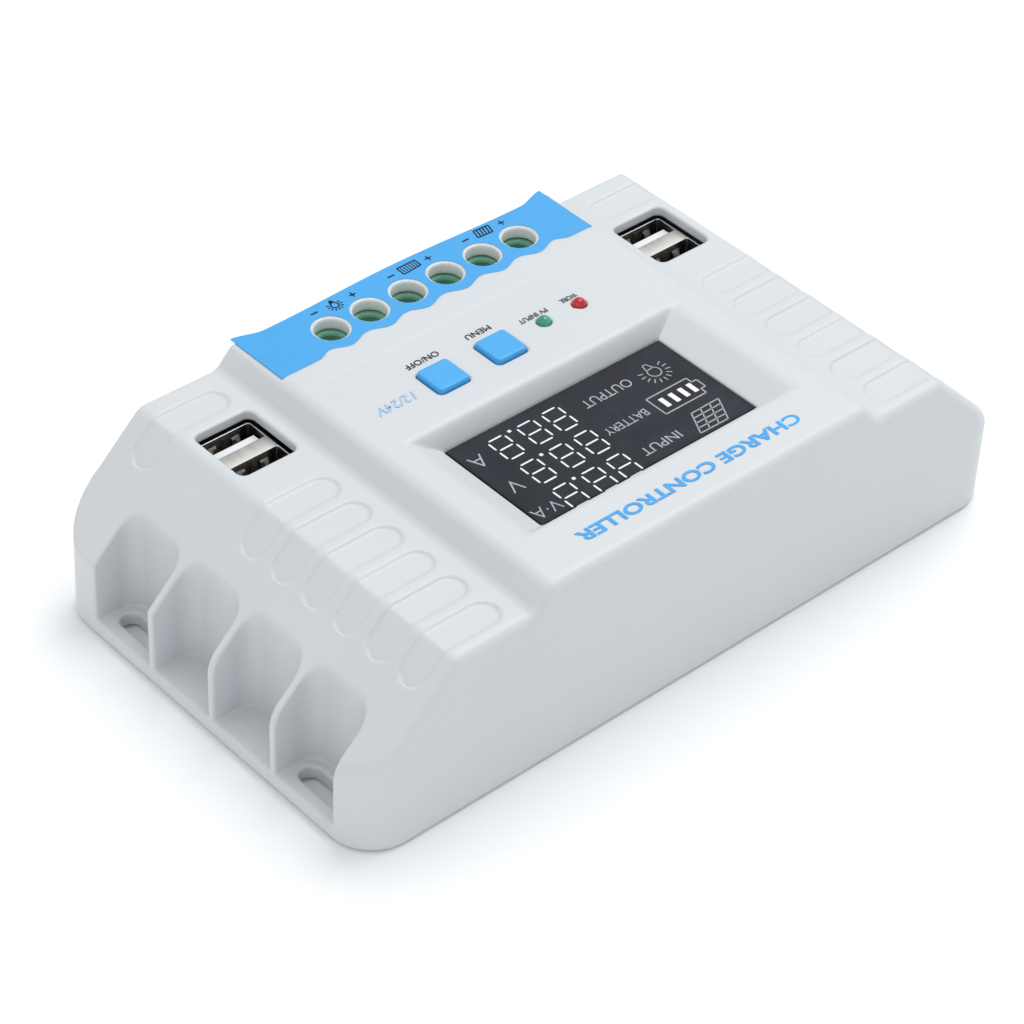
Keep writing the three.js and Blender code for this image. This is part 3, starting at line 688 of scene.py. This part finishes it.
def upright(plan):
    """A tool that cuts right through along Z."""
    return lambda x, y, z: plan(x, y) + 0 * z


def pad_offset(x, y, z):
    """Depth of the shallow rounded pads that wrap over the shoulder's outer edge."""
    side = np.abs(x)
    down_slope = SHOULDER_OUTER_X + (side - SHOULDER_OUTER_X) * math.sqrt(2)
    along = np.where(side > SHOULDER_OUTER_X, down_slope, side)
    depth = np.zeros(np.broadcast_shapes(x.shape, y.shape), dtype=np.float32)
    start, end, width = 50.0, 74.8, 6.7
    for middle in PAD_YS:
        across = y - middle
        half = (end - start) / 2
        edge = rectangle_distance(along - (start + end) / 2, across, half, width / 2, width / 2 - 0.01)
        depth = np.maximum(depth, smooth_step((0.25 - edge) / 0.5))
    return depth * PAD_DEPTH * (z > 26)


def recess(x, y, z):
    """The sloped frame down to the display window."""
    drop = PLATEAU_Z - WINDOW_Z
    sides = []
    for distance, run in (
        (np.abs(x) - WINDOW_X, BEZEL_X - WINDOW_X),
        (y - WINDOW_Y[1], BEZEL_Y[1] - WINDOW_Y[1]),
        (WINDOW_Y[0] - y, WINDOW_Y[0] - BEZEL_Y[0]),
    ):
        sides.append((distance * drop - (z - WINDOW_Z) * run) / math.hypot(drop, run))
    corners = np.maximum(meet(sides[1], sides[0], 0.5), meet(sides[2], sides[0], 0.5))
    return np.maximum(corners, WINDOW_Z - z)


def square_hole(middle, half_x, half_y, radius):
    return upright(lambda x, y: rectangle_distance(x - middle[0], y - middle[1], half_x, half_y, radius))


def round_hole(middle, radius):
    return upright(lambda x, y: np.hypot(x - middle[0], y - middle[1]) - radius)


def around(x, y, half_x, half_y):
    """The X and Y pairs of a box about a place."""
    return [(x - half_x, x + half_x), (y - half_y, y + half_y)]


def housing_shell():
    field = Field(0.4)
    x, y, z = field.x, field.y, field.z
    rounding = np.where(y < 0, TERMINAL_EDGE_ROUND, EDGE_ROUND)
    outside = meet(outer_profile(x, z), outer_plan(x, y, z), rounding)
    outside = outside + pad_offset(x, y, z) + label_offset(x, y, z)
    outside = meet(outside, -z + 0 * x, 0.4)
    field.values = np.maximum(outside, -cavity(x, y, z))
    bezel = [(-39, 39), (-3.5, 37.2), (WINDOW_Z - 1.2, PLATEAU_Z - WALL + 0.5)]

    def bezel_block(a, b, c):
        plan = rectangle_distance(a, b - sum(bezel[1]) / 2, 39, (bezel[1][1] - bezel[1][0]) / 2, 1)
        return np.maximum(np.maximum(plan, bezel[2][0] - c), c - bezel[2][1])

    field.add(bezel, bezel_block, 0.4)
    for side in (-1, 1):
        ends = sorted((side * POCKET["back_x"], side * (HALF_LENGTH + 2)))
        for middle in POCKET_YS:
            span = (middle - POCKET["half"], middle + POCKET["half"])
            field.cut([ends, span, (FLANGE_HEIGHT, PLATEAU_Z)], pocket(side, middle), 0.45)
        for middle in (POCKET_YS[0], POCKET_YS[-1]):
            half = SLOT_WIDTH / 2
            slot = square_hole((side * SLOT_X, middle), half, SLOT_LENGTH / 2, half - 0.01)
            field.cut([*around(side * SLOT_X, middle, 3, 8), (-2, FLANGE_HEIGHT + 1)], slot, 0.45)
    for place in USB.values():
        mouth = square_hole(place, USB_MOUTH["half_x"], USB_MOUTH["half_y"], USB_MOUTH["radius"])
        field.cut([*around(place.x, place.y, 8, 9), (36, 41)], mouth, 0.5)
    for place in BUTTONS.values():
        hole = square_hole(place, BUTTON_HOLE["half"], BUTTON_HOLE["half"], BUTTON_HOLE["radius"])
        field.cut([*around(place.x, place.y, 5, 5), (41, 46)], hole, 0.35)
    for place in LAMPS.values():
        hole = round_hole(place, LAMP_HOLE_RADIUS)
        field.cut([*around(place.x, place.y, 2, 2), (41, 46)], hole, 0.15)
    for place in POLES:
        def collar(a, b, c, centre=place):
            round_wall = np.hypot(a - centre, b - POLE_Y) - COLLAR_RADIUS
            return np.maximum(round_wall, np.abs(c - COLLAR_FOOT - 1) - 1)

        hole = round_hole((place, POLE_Y), SCREW_HOLE_RADIUS)
        field.add([*around(place, POLE_Y, 5, 5), (COLLAR_FOOT, COLLAR_FOOT + 2)], collar, 0.2)
        field.cut([*around(place, POLE_Y, 5, 5), (40, 46)], hole, 0.55)
        entry = [(place - 4, place + 4), (-HALF_WIDTH - 1, CAVITY_Y[0]), WIRE_HOLE_Z]
        middle_z = sum(WIRE_HOLE_Z) / 2
        half_z = (WIRE_HOLE_Z[1] - WIRE_HOLE_Z[0]) / 2

        def wire_entry(a, b, c, centre=place):
            return rectangle_distance(a - centre, c - middle_z, 4, half_z, 0.8) + 0 * b

        field.cut(entry, wire_entry, 0.5)
    field.cut([(-BEZEL_X, BEZEL_X), BEZEL_Y, (WINDOW_Z, PLATEAU_Z + 1)], recess, 0.7)
    window_middle = (0, sum(WINDOW_Y) / 2)
    half_y = (WINDOW_Y[1] - WINDOW_Y[0]) / 2
    opening = square_hole(window_middle, WINDOW_X, half_y, 0.3)
    field.cut([(-WINDOW_X, WINDOW_X), WINDOW_Y, (38, WINDOW_Z)], opening, 0.01)
    shell = mesh_object("housing_shell", field.mesh("housing_shell"))
    shell.data.shade_smooth()
    finish_piece(shell, "housing", replaces=["front_housing"])
    # Slot 1: the far frame slope with its painted shade.
    shell.data.materials.append(shaded_slope_material(BEZEL_Y[0], WINDOW_Y[0]))
    # Slot 2: the screw holes' walls in the lighter copy, painted light.
    shell.data.materials.append(materials["painted_light_wall"])
    count = len(shell.data.polygons)
    centres = np.empty(count * 3, dtype=np.float32)
    normals = np.empty(count * 3, dtype=np.float32)
    shell.data.polygons.foreach_get("center", centres)
    shell.data.polygons.foreach_get("normal", normals)
    cx, cy, cz = (centres.reshape(-1, 3) / MM).T
    facing = normals.reshape(-1, 3)[:, 1]
    # Far frame slope faces, which take the painted shade.
    slope = (np.abs(cx) < BEZEL_X) & (cy > BEZEL_Y[0] - 0.3) & (cy < WINDOW_Y[0] + 0.1)
    slope = slope & (cz > WINDOW_Z) & (facing > 0.35)
    nearest = np.min([np.hypot(cx - place, cy - POLE_Y) for place in POLES], axis=0)
    # Faces inside the screw holes, which take the painted light.
    painted_light_faces = (nearest < SCREW_HOLE_RADIUS + 0.3) & (cz > COLLAR_FOOT - 0.2)
    look = np.where(slope, 1, np.where(painted_light_faces, 2, 0)).astype(np.int32)
    shell.data.polygons.foreach_set("material_index", look)


# ---------------------------------------------------------------- terminal label and its print
LABEL_LIFT = 0.12
LABEL_HOLE_RADIUS = 4.2


def top_height(x, y):
    """Height of the label's bed, which rolls off towards the set-back terminal wall."""
    into = min(max(float(terminal_wall(x)) - y + TERMINAL_EDGE_ROUND, 0), TERMINAL_EDGE_ROUND)
    rolled = math.sqrt(TERMINAL_EDGE_ROUND ** 2 - into ** 2)
    return PLATEAU_Z - LABEL_DEPTH - TERMINAL_EDGE_ROUND + rolled


def draped(piece):
    """Lays a flat piece made at plateau height onto the rolled edge."""
    for vertex in piece.data.vertices:
        drop = PLATEAU_Z - top_height(vertex.co.x / MM, vertex.co.y / MM)
        vertex.co.z -= drop * MM
    return piece


def make_label():
    columns = 170
    rows = [0, 0.006, 0.012, 0.02, 0.1, 0.35, 0.7, 1]
    bm = bmesh.new()
    levels = []
    for lift in (LABEL_LIFT, -0.15):
        grid = []
        for i in range(columns + 1):
            x = LABEL_X * (1 - 2 * i / columns)
            far = float(terminal_wall(x)) + LABEL_EDGE
            near = float(near_edge(x))
            line = []
            for share in rows:
                y = far + (near - far) * share
                line.append(bm.verts.new((x * MM, y * MM, (top_height(x, y) + lift) * MM)))
            grid.append(line)
        levels.append(grid)
    last = len(rows) - 1
    for upper, grid in zip((True, False), levels):
        for i in range(columns):
            for j in range(last):
                face = (grid[i][j], grid[i][j + 1], grid[i + 1][j + 1], grid[i + 1][j])
                bm.faces.new(face if upper else face[::-1])
    high_grid, low_grid = levels
    for i in range(columns):
        bm.faces.new((high_grid[i][0], high_grid[i + 1][0], low_grid[i + 1][0], low_grid[i][0]))
        bm.faces.new((high_grid[i + 1][last], high_grid[i][last], low_grid[i][last], low_grid[i + 1][last]))
    for j in range(last):
        bm.faces.new((high_grid[0][j + 1], high_grid[0][j], low_grid[0][j], low_grid[0][j + 1]))
        ends = (high_grid[columns], low_grid[columns])
        bm.faces.new((ends[0][j], ends[0][j + 1], ends[1][j + 1], ends[1][j]))
    label = from_bmesh("label_plate", bm)
    foot, head = PLATEAU_Z - 2, PLATEAU_Z + 2
    profile = [(0, foot), (LABEL_HOLE_RADIUS, foot), (LABEL_HOLE_RADIUS, head), (0, head)]
    holes = [lathe("hole", profile, x, POLE_Y, 64) for x in POLES]
    cut_away(label, [joined(holes, "holes")])
    finish_piece(label, "label", replaces=["terminal_label"], smooth=30)


def bar(x0, y0, x1, y1, width, z, thickness=0.03):
    """A straight raised stroke with square ends."""
    along = Vector((x1 - x0, y1 - y0)).normalized()
    a, b = -along.y * width / 2, along.x * width / 2
    ends = [(x0 + a, y0 + b), (x0 - a, y0 - b), (x1 - a, y1 - b), (x1 + a, y1 + b)]
    return curve_plate("stroke", [ends], z, z + thickness)


def path_strokes(points, width, z, closed=False):
    ends = points[1:] + points[:1] if closed else points[1:]
    return [bar(*a, *b, width, z) for a, b in zip(points, ends)]


def arc_points(x, y, radius, start, end, steps=14):
    turns = [math.radians(start + (end - start) * i / steps) for i in range(steps + 1)]
    return [(x + radius * math.cos(t), y + radius * math.sin(t)) for t in turns]


def lamp_symbol(x, y, size, z, width, rays=8, solid_base=True, tilt=0, reach=(1.45, 2.15)):
    """A bulb whose base points away from +Y, with short rays round its head."""
    made = []
    made += path_strokes(arc_points(0, 0, size, -50, 230, 20), width, z)
    made += path_strokes([(size * 0.64, -size * 0.77), (size * 0.3, -size * 1.9)], width, z)
    made += path_strokes([(-size * 0.64, -size * 0.77), (-size * 0.3, -size * 1.9)], width, z)
    if solid_base:
        foot = -size * 2.3
        base = [(-size * 0.55, -size), (size * 0.55, -size), (size * 0.3, foot), (-size * 0.3, foot)]
        made.append(curve_plate("base", [base], z, z + 0.03))
    else:
        made += path_strokes([(-size * 0.3, -size * 1.9), (size * 0.3, -size * 1.9)], width, z)
        made += path_strokes([(-size * 0.62, -size * 0.8), (size * 0.62, -size * 0.8)], width, z)
    for i in range(rays):
        turn = math.radians(-25 + 230 * i / (rays - 1))
        inner, outer = size * reach[0], size * reach[1]
        a, b = math.cos(turn), math.sin(turn)
        made.append(bar(inner * a, inner * b, outer * a, outer * b, width, z))
    piece = joined(made, "lamp_symbol")
    piece.data.transform(Matrix.Rotation(math.radians(tilt), 4, "Z"))
    piece.data.transform(Matrix.Translation((x * MM, y * MM, 0)))
    return piece


def battery_symbol(x, y, z):
    """A ribbed battery outline with a round shoulder, as printed beside the terminals."""
    corners = [(x - 2.4, y - 1.2), (x - 2.4, y + 0.9), (x + 2.4, y + 1.3), (x + 2.4, y - 1.2)]
    made = path_strokes(corners, 0.36, z, True)
    for i in range(6):
        across = x - 1.7 + 0.68 * i
        made.append(bar(across, y - 0.9, across, y + 0.8, 0.26, z))
    return made


def panel_symbol(x, y, z):
    corners = [(x - 2.3, y - 1.1), (x + 1.6, y - 1.3), (x + 2.3, y + 1.1), (x - 1.6, y + 1.3)]
    made = path_strokes(corners, 0.34, z, True)
    for i in range(1, 5):
        share = i / 5
        foot = (corners[0][0] + 3.9 * share, corners[0][1] - 0.2 * share)
        head = (corners[3][0] + 3.9 * share, corners[3][1] - 0.2 * share)
        made.append(bar(*foot, *head, 0.34, z))
    return made


def make_label_symbols():
    z = PLATEAU_Z + LABEL_LIFT
    y = -44.6
    made = []
    for i in range(0, len(POLES), 2):
        minus_x, plus_x = POLES[i] - 0.5, POLES[i + 1] - 0.4
        made.append(bar(minus_x - 0.9, y, minus_x + 0.9, y, 0.42, z))
        made.append(bar(plus_x - 0.85, y - 0.1, plus_x + 0.85, y - 0.1, 0.34, z))
        made.append(bar(plus_x, y - 0.95, plus_x, y + 0.75, 0.34, z))
    between = [(POLES[i] + POLES[i + 1]) / 2 - 0.4 for i in (0, 2, 4)]
    made.append(lamp_symbol(between[0], y + 0.5, 0.85, z, 0.33, 9))
    made += battery_symbol(between[1], y - 0.1, z)
    made += panel_symbol(between[2], y - 0.1, z)
    symbols = draped(joined(made, "label_symbols"))
    finish_piece(symbols, "black_ink")


# ---------------------------------------------------------------- print and marks on the housing
def make_print():
    z = PLATEAU_Z - 0.005
    title = words("title_print", "CHARGE CONTROLLER", -0.3, 41.5, 2.9, z, width=58.5, bold=0.1)
    finish_piece(title, "blue_ink")
    keys = [
        words("on_off_words", "ON/OFF", BUTTONS["on_off"].x - 0.2, -18.8, 1.6, z, width=8.4, bold=0.01),
        words("menu_words", "MENU", BUTTONS["menu"].x + 0.3, -18.8, 1.6, z, width=6.3),
    ]
    finish_piece(joined(keys, "key_print"), "black_ink")
    lamps = [
        words("pv_words", "PV INPUT", LAMPS["pv"].x + 0.6, -15.9, 1.35, z, width=7.4, bold=0.02),
        words("work_words", "WORK", LAMPS["work"].x + 0.6, -15.9, 1.35, z, width=4.3, bold=0.02),
    ]
    finish_piece(joined(lamps, "lamp_print"), "grey_ink")
    rating_y = -11.4
    rating = words("rating_print", "12/24V", 29.2, rating_y, 2.5, z, width=9.4, bold=0.02)
    rating.data.transform(Matrix.Translation((0, -rating_y * MM, 0)))
    slant = Matrix(((1, 0.25, 0, 0), (0, 1, 0, 0), (0, 0, 1, 0), (0, 0, 0, 1)))
    rating.data.transform(slant)
    rating.data.transform(Matrix.Translation((0, rating_y * MM, 0)))
    finish_piece(rating, "pale_ink")


# ---------------------------------------------------------------- display
ROWS_Y = (9.0, 18.4, 27.8)
DIGITS_X = (4.3, 10.9, 18.4)
DIGIT_WIDTH = 4.3
DIGIT_HEIGHT = 6.8
SEGMENT = 0.4
ACTIVE_INSET = 1.1


def segment(x0, y0, x1, y1):
    """One bar of a digit, pointed a little at both ends."""
    along = Vector((x1 - x0, y1 - y0))
    length = along.length
    along.normalize()
    side = Vector((-along.y, along.x)) * SEGMENT / 2
    start, end = Vector((x0, y0)), Vector((x1, y1))
    tip = along * min(0.3, length / 4)
    points = [start, start + tip - side, end - tip - side, end, end - tip + side, start + tip + side]
    return curve_plate("segment", [[tuple(p) for p in points]], WINDOW_Z + 0.005, WINDOW_Z + 0.03)


def digit(x, y):
    half, rise, gap = DIGIT_WIDTH / 2, DIGIT_HEIGHT / 2, 0.42
    made = []
    for level in (-rise, 0, rise):
        made.append(segment(x - half + gap, y + level, x + half - gap, y + level))
    for side in (-half, half):
        for low_end, high_end in ((-rise, 0), (0, rise)):
            made.append(segment(x + side, y + low_end + gap, x + side, y + high_end - gap))
    return made


def make_display():
    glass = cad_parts["display_window"]
    z = WINDOW_Z + 0.005
    lit = []
    for y in ROWS_Y:
        for x in DIGITS_X:
            lit += digit(x, y)
        dot_x, dot_y = (DIGITS_X[1] + DIGITS_X[2]) / 2, y - DIGIT_HEIGHT / 2
        lit.append(curve_plate("dot", [rounded_outline(0.75, 0.75, 0.1, dot_x, dot_y, 2)], z, z + 0.025))
    cell_y = 18.3
    for x in (-15.6, -18.2, -20.8, -23.2):
        lit.append(curve_plate("cell", [rounded_outline(1.15, 3.0, 0.1, x, cell_y, 2)], z, z + 0.025))
    finish_piece(joined(lit, "lit_segments"), "digit")

    legends = [
        words("output_word", "OUTPUT", -8.6, 8.9, 2.5, z, 0.02, width=12.7),
        words("battery_word", "BATTERY", -5.4, 18.1, 2.2, z, 0.02, width=11.2),
        words("input_word", "INPUT", -6.2, 27.2, 2.4, z, 0.02, width=10.0),
        words("amps", "A", 25.5, 8.9, 3.8, z, 0.02, bold=-0.06),
        words("volts", "V", 25.0, 18.8, 3.8, z, 0.02, bold=-0.06),
        words("volts_amps", "V·A", 24.9, 28.0, 3.2, z, 0.02, width=6.6, bold=-0.05),
    ]
    outline = [
        (-13.2, 15.3), (-24.3, 15.3), (-24.3, 16.9), (-25.6, 16.9),
        (-25.6, 19.6), (-24.3, 19.6), (-24.3, 21.2), (-13.2, 21.2),
    ]
    legends += path_strokes(outline, 0.32, z, True)
    corners = [(-17.2, 24.2), (-24.8, 24.1), (-21.8, 30.0), (-14.3, 29.9)]

    def across(a, b, share):
        return (a[0] + (b[0] - a[0]) * share, a[1] + (b[1] - a[1]) * share)

    near_right, near_left, far_left, far_right = corners
    for i in range(4):
        share = i / 3
        near, far = across(near_right, near_left, share), across(far_right, far_left, share)
        legends.append(bar(*near, *far, 0.3, z))
    for i in range(5):
        share = i / 4
        right, left = across(near_right, far_right, share), across(near_left, far_left, share)
        legends.append(bar(*right, *left, 0.3, z))
    bulb = lamp_symbol(-20.8, 9.7, 1.5, z, 0.26, 11, solid_base=False, tilt=6, reach=(1.65, 2.45))
    legends.append(bulb)
    finish_piece(joined(legends, "grey_legends"), "legend")

    half_y = (WINDOW_Y[1] - WINDOW_Y[0]) / 2
    middle = sum(WINDOW_Y) / 2
    border = rounded_outline(2 * WINDOW_X - 0.7, 2 * half_y - 0.7, 0.2, 0, middle, 2)
    active = rounded_outline(2 * (WINDOW_X - ACTIVE_INSET), 2 * (half_y - ACTIVE_INSET), 0.3, 0, middle, 2)
    mask = curve_plate("screen_mask", [border, active], WINDOW_Z + 0.001, WINDOW_Z + 0.012)
    finish_piece(mask, "mask")
    glass.data.materials.clear()
    glass.data.materials.append(materials["screen"])


# ---------------------------------------------------------------- buttons and lamps
def lofted(name, levels, x=0.0, y=0.0):
    """A closed solid through outlines of equal point count, given with their heights."""
    bm = bmesh.new()
    rings = []
    for outline, z in levels:
        rings.append([bm.verts.new(((x + a) * MM, (y + b) * MM, z * MM)) for a, b in outline])
    count = len(rings[0])
    for low_ring, high_ring in zip(rings, rings[1:]):
        for i in range(count):
            j = (i + 1) % count
            bm.faces.new((low_ring[i], low_ring[j], high_ring[j], high_ring[i]))
    bm.faces.new(rings[0][::-1])
    bm.faces.new(rings[-1])
    return from_bmesh(name, bm)


def make_button(key):
    node = f"button_{key}"
    node_low, node_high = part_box(node)
    place = BUTTONS[key]
    top, foot = node_high.z / MM, node_low.z / MM
    size, radius, soft = 7.8, 0.9, 0.4

    def square(inset, corner=None):
        side = size - 2 * inset
        return rounded_outline(side, side, max((corner or radius) - inset, 0.3))

    flange = rounded_outline(9.3, 9.3, 1.6)
    stem = rounded_outline(3.9, 3.9, 1.9)
    levels = [(stem, foot), (stem, foot + 3.4), (flange, foot + 3.42), (flange, foot + 4.3)]
    levels.append((square(0), foot + 4.45))
    for i in range(6):
        turn = math.pi / 2 * i / 5
        levels.append((square(soft * (1 - math.cos(turn))), top - soft * (1 - math.sin(turn))))
    levels.append((square(1.6), top - 0.03))
    levels.append((square(3.0), top - 0.1))
    cap = lofted(f"cap_{key}", levels, place.x, place.y)
    finish_piece(cap, "button", node, [node], smooth=35)


def make_lamp(key, material):
    node = f"led_{key}"
    node_low, node_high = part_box(node)
    place = LAMPS[key]
    radius, rim = 1.5, 1.9
    top, foot = node_high.z / MM, 38.0
    centre = top - radius
    turns = [math.radians(6 * i) for i in range(15)]
    dome = [(radius * math.cos(t), centre + radius * math.sin(t)) for t in turns]
    collar = [(0, foot), (rim, foot), (rim, foot + 0.9), (rim - 0.1, foot + 1.0), (radius, foot + 1.0)]
    pieces = [lathe("lens", collar + dome + [(0, top)], place.x, place.y, 40)]
    board_z = node_low.z / MM
    for side in (-1.27, 1.27):
        x, y = place.x + side, place.y
        pieces.append(block(x - 0.25, x + 0.25, y - 0.25, y + 0.25, board_z, foot + 0.1))
    lens = joined(pieces, f"lens_{key}")
    finish_piece(lens, material, replaces=[node], smooth=35)


# ---------------------------------------------------------------- USB sockets
PORT_WIDTH = 12.7
PORT_DEPTH = 5.3
SHEET = 0.32
TONGUE = (11.1, 1.9)


def spring(x, y, z, width, height, reach):
    """A curved contact tab that bulges from a port's wall towards +Y."""
    outline = []
    for i in range(9):
        t = i / 8
        outline.append((y + reach * math.sin(math.pi * t) ** 0.8, z + height * (1 - t)))
    back = [(a - 0.22, b) for a, b in outline[::-1]]
    bm = bmesh.new()
    sides = []
    for across in (x - width / 2, x + width / 2):
        sides.append([bm.verts.new((across * MM, a * MM, b * MM)) for a, b in outline + back])
    count = len(sides[0])
    for i in range(count):
        j = (i + 1) % count
        bm.faces.new((sides[0][i], sides[0][j], sides[1][j], sides[1][i]))
    bm.faces.new(sides[0])
    bm.faces.new(sides[1][::-1])
    return from_bmesh("spring", bm)


def make_usb(key):
    place = USB[key]
    shell_low, shell_high = (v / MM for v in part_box(f"usb_shell_{key}"))
    half_x, half_y = (shell_high.x - shell_low.x) / 2, (shell_high.y - shell_low.y) / 2
    top, foot = shell_high.z, shell_low.z
    port_y = half_y - SHEET - PORT_DEPTH / 2 - 0.1
    floor_z = 24.3
    outer = rounded_outline(2 * half_x, 2 * half_y, 0.8, place.x, place.y)
    ports = []
    for side in (-1, 1):
        ports.append(rounded_outline(PORT_WIDTH, PORT_DEPTH, 0.6, place.x, place.y + side * port_y))
    can = curve_plate("can", [outer, *ports], floor_z, top, 0.12)
    (x0, x1), (y0, y1) = around(place.x, place.y, half_x - 0.35, half_y - 0.35)
    base = block(x0, x1, y0, y1, foot, floor_z)
    # The floor block is the dark steel, painted shade deep in the ports.
    base.data.materials.append(materials["painted_shade_steel"])
    can.data.materials.append(materials["steel"])
    can.data.materials.append(materials["painted_shade_steel"])
    can.data.materials.append(materials["satin_steel"])
    # Deep inner walls take the dark steel, painted shade; the divider band's top takes satin steel.
    for face in can.data.polygons:
        centre = face.center / MM
        inner = abs(centre.x - place.x) < half_x - 0.15 and abs(centre.y - place.y) < half_y - 0.15
        deep = centre.z < top - 0.2
        between = abs(centre.y - place.y) < port_y - PORT_DEPTH / 2 + 0.1 and face.normal.z > 0.9
        face.material_index = 1 if inner and deep and abs(face.normal.z) < 0.7 else 2 if between else 0
    springs = []
    for side in (-1, 1):
        wall = place.y + side * port_y - PORT_DEPTH / 2
        for across in (-2.9, 2.9):
            tab = spring(place.x + across, wall + 0.1, floor_z + 4.6, 1.9, 6.2, 0.75)
            tab.data.materials.append(materials["steel"])
            springs.append(tab)
    shell_piece = joined([can, base, *springs], f"socket_shell_{key}")
    finish_piece(shell_piece, "steel", replaces=[f"usb_shell_{key}"], smooth=35)

    tongues, contacts = [], []
    for side in (-1, 1):
        wall = place.y + side * port_y + PORT_DEPTH / 2
        y1 = wall - 0.75
        y0 = y1 - TONGUE[1]
        x0, x1 = place.x - TONGUE[0] / 2, place.x + TONGUE[0] / 2
        tongue = block(x0, x1, y0, y1, floor_z - 0.2, top - 0.9, edge=0.28, steps=3)
        tongues.append(tongue)
        for i in range(4):
            x = place.x + (i - 1.5) * 2.3
            contact = block(x - 0.5, x + 0.5, y0 - 0.1, y0 + 0.05, floor_z, top - 2.0, edge=0.04, steps=1)
            contacts.append(contact)
    tongue_piece = joined(tongues, f"socket_tongues_{key}")
    finish_piece(tongue_piece, "white", replaces=[f"usb_insulator_{key}"], smooth=35)
    finish_piece(joined(contacts, f"socket_contacts_{key}"), "gold", smooth=35)


# ---------------------------------------------------------------- terminals
def well_tools(block_low, block_high):
    """The hollows of the terminal block, one group of tools for each kind."""
    groups = []
    top = block_high.z
    head_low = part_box("terminal_screw_1")[1].z / MM - 3
    wells, cells, ways, shanks, bars = [], [], [], [], []
    for x in POLES:
        wells.append(lathe("well", [
            (0, head_low - 0.3), (3.6, head_low - 0.3), (3.6, top - 1.3), (3.0, top - 0.9),
            (3.0, top - 0.3), (3.15, top), (3.15, top + 1), (0, top + 1),
        ], x, POLE_Y, 48))
        shanks.append(lathe("shank", [(0, 27), (2.3, 27), (2.3, head_low), (0, head_low)], x, POLE_Y, 32))
        cells.append(block(x - 3.9, x + 3.9, POLE_Y - 4.1, POLE_Y + 4.1, 12.8, 27.8))
        ways.append(block(x - 3.5, x + 3.5, block_low.y - 1, POLE_Y - 4, 13.2, 21.8, edge=0.5))
        bars.append(block(x - 2.8, x + 2.8, POLE_Y + 4, POLE_Y + 6.9, block_low.z - 1, 20.9))
    for tools in (wells, cells, ways, shanks, bars):
        groups.append(joined(tools, "tool"))
    return groups


def make_terminal_block():
    block_low, block_high = (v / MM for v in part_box("terminal_block"))
    (x0, y0, z0), (x1, y1, z1) = block_low, block_high
    body = block(x0, x1, y0, y1, z0, z1, edge=0.35)
    grooves = []
    for i in range(1, 6):
        x = (POLES[i - 1] + POLES[i]) / 2
        grooves.append(block(x - 0.25, x + 0.25, y0 - 1, y0 + 0.5, z0 - 1, z1 + 1))
    cut_away(body, [*well_tools(block_low, block_high), joined(grooves, "tool")])
    body.name = "terminal_body"
    finish_piece(body, "terminal", replaces=["terminal_block"], smooth=30)


def make_cages():
    for i, x in enumerate(POLES):
        node = f"wire_clamp_{i + 1}"
        (x0, y0, foot), (x1, y1, top) = (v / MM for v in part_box(node))
        cage = block(x0, x1, y0, y1, foot, top, edge=0.35, steps=3)
        window = block(x - 2.9, x + 2.9, y0 - 1, y1 + 1, foot + 1.4, top - 2, edge=0.5)
        profile = [(0, top - 3), (2, top - 3), (2, top - 0.3), (2.3, top + 1), (0, top + 1)]
        hole = lathe("hole", profile, x, POLE_Y, 32)
        ribs = []
        for y in (-40.4, -38.6, -36.8):
            ribs.append(block(x - 2.2, x + 2.2, y - 0.25, y + 0.25, foot + 1.1, foot + 2))
        cut_away(cage, [window, hole, joined(ribs, "tool")])
        cage.name = f"cage_{i + 1}"
        finish_piece(cage, "steel", node, [node], smooth=30)


# ---------------------------------------------------------------- back and inside
def make_cover():
    cover_low, cover_high = (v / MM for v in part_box("rear_cover"))
    middle = (cover_low.y + cover_high.y) / 2
    outline = rounded_outline(cover_high.x - cover_low.x, cover_high.y - cover_low.y, 3.0, 0, middle)
    plate = curve_plate("cover_plate", [outline], cover_low.z, cover_low.z + 2.5, 0.3)
    sinks, vents = [], []
    screws = [middle_mm(f"cover_screw_{i + 1}") for i in range(4)]
    sink = [(0, -1), (3.3, -1), (3.1, 0.3), (3.1, 1.6), (1.6, 1.6), (1.6, 4), (0, 4)]
    for place in screws:
        sinks.append(lathe("sink", sink, place.x, place.y))
    for side in (-1, 1):
        for i in range(9):
            y = middle - 24 + 6 * i
            vents.append(curve_plate("vent", [rounded_outline(26, 2.2, 1.09, side * 30, y)], -1, 0.9))
    panel = curve_plate("panel", [rounded_outline(24, 40, 2, 0, middle)], -1, 0.25)
    cut_away(plate, [joined(sinks, "tool"), joined(vents, "tool"), panel])
    pegs = []
    peg = [(0, 2.3), (3.3, 2.3), (3, 3), (3, 8.7), (1.2, 8.7), (1.2, 11.8), (0.9, 12.1), (0, 12.1)]
    for x in (-58, 58):
        for y in (-39, 39):
            pegs.append(lathe("peg", peg, x, y, 32))
    cover = joined([plate, *pegs], "back_cover")
    finish_piece(cover, "cover", replaces=["rear_cover"], smooth=30)


INSIDE_LOOKS = {
    "lcd_panel": "mask",
    "lcd_frame": "white",
    "display_board": "board",
    "switch_": "black",
    "usb_board": "board",
    "contact_bar": "brass",
    "main_board": "board",
    "heatsink": "aluminium",
    "mosfet": "black",
    "capacitor": "sleeve",
    "choke": "copper",
    "microcontroller": "black",
    "link_header": "black",
    "board_screw": "steel",
    "terminal_screw": "steel",
    "cover_screw": "steel",
}


def paint_inside():
    for name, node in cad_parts.items():
        for start, look in INSIDE_LOOKS.items():
            if name.startswith(start):
                node.data.materials.clear()
                node.data.materials.append(materials[look])


make_camera()
make_stage()
housing_shell()
make_label()
make_label_symbols()
make_print()
make_display()
for button in BUTTONS:
    make_button(button)
make_lamp("pv", "green_lens")
make_lamp("work", "red_lens")
for socket in USB:
    make_usb(socket)
make_terminal_block()
make_cages()
make_cover()
paint_inside()
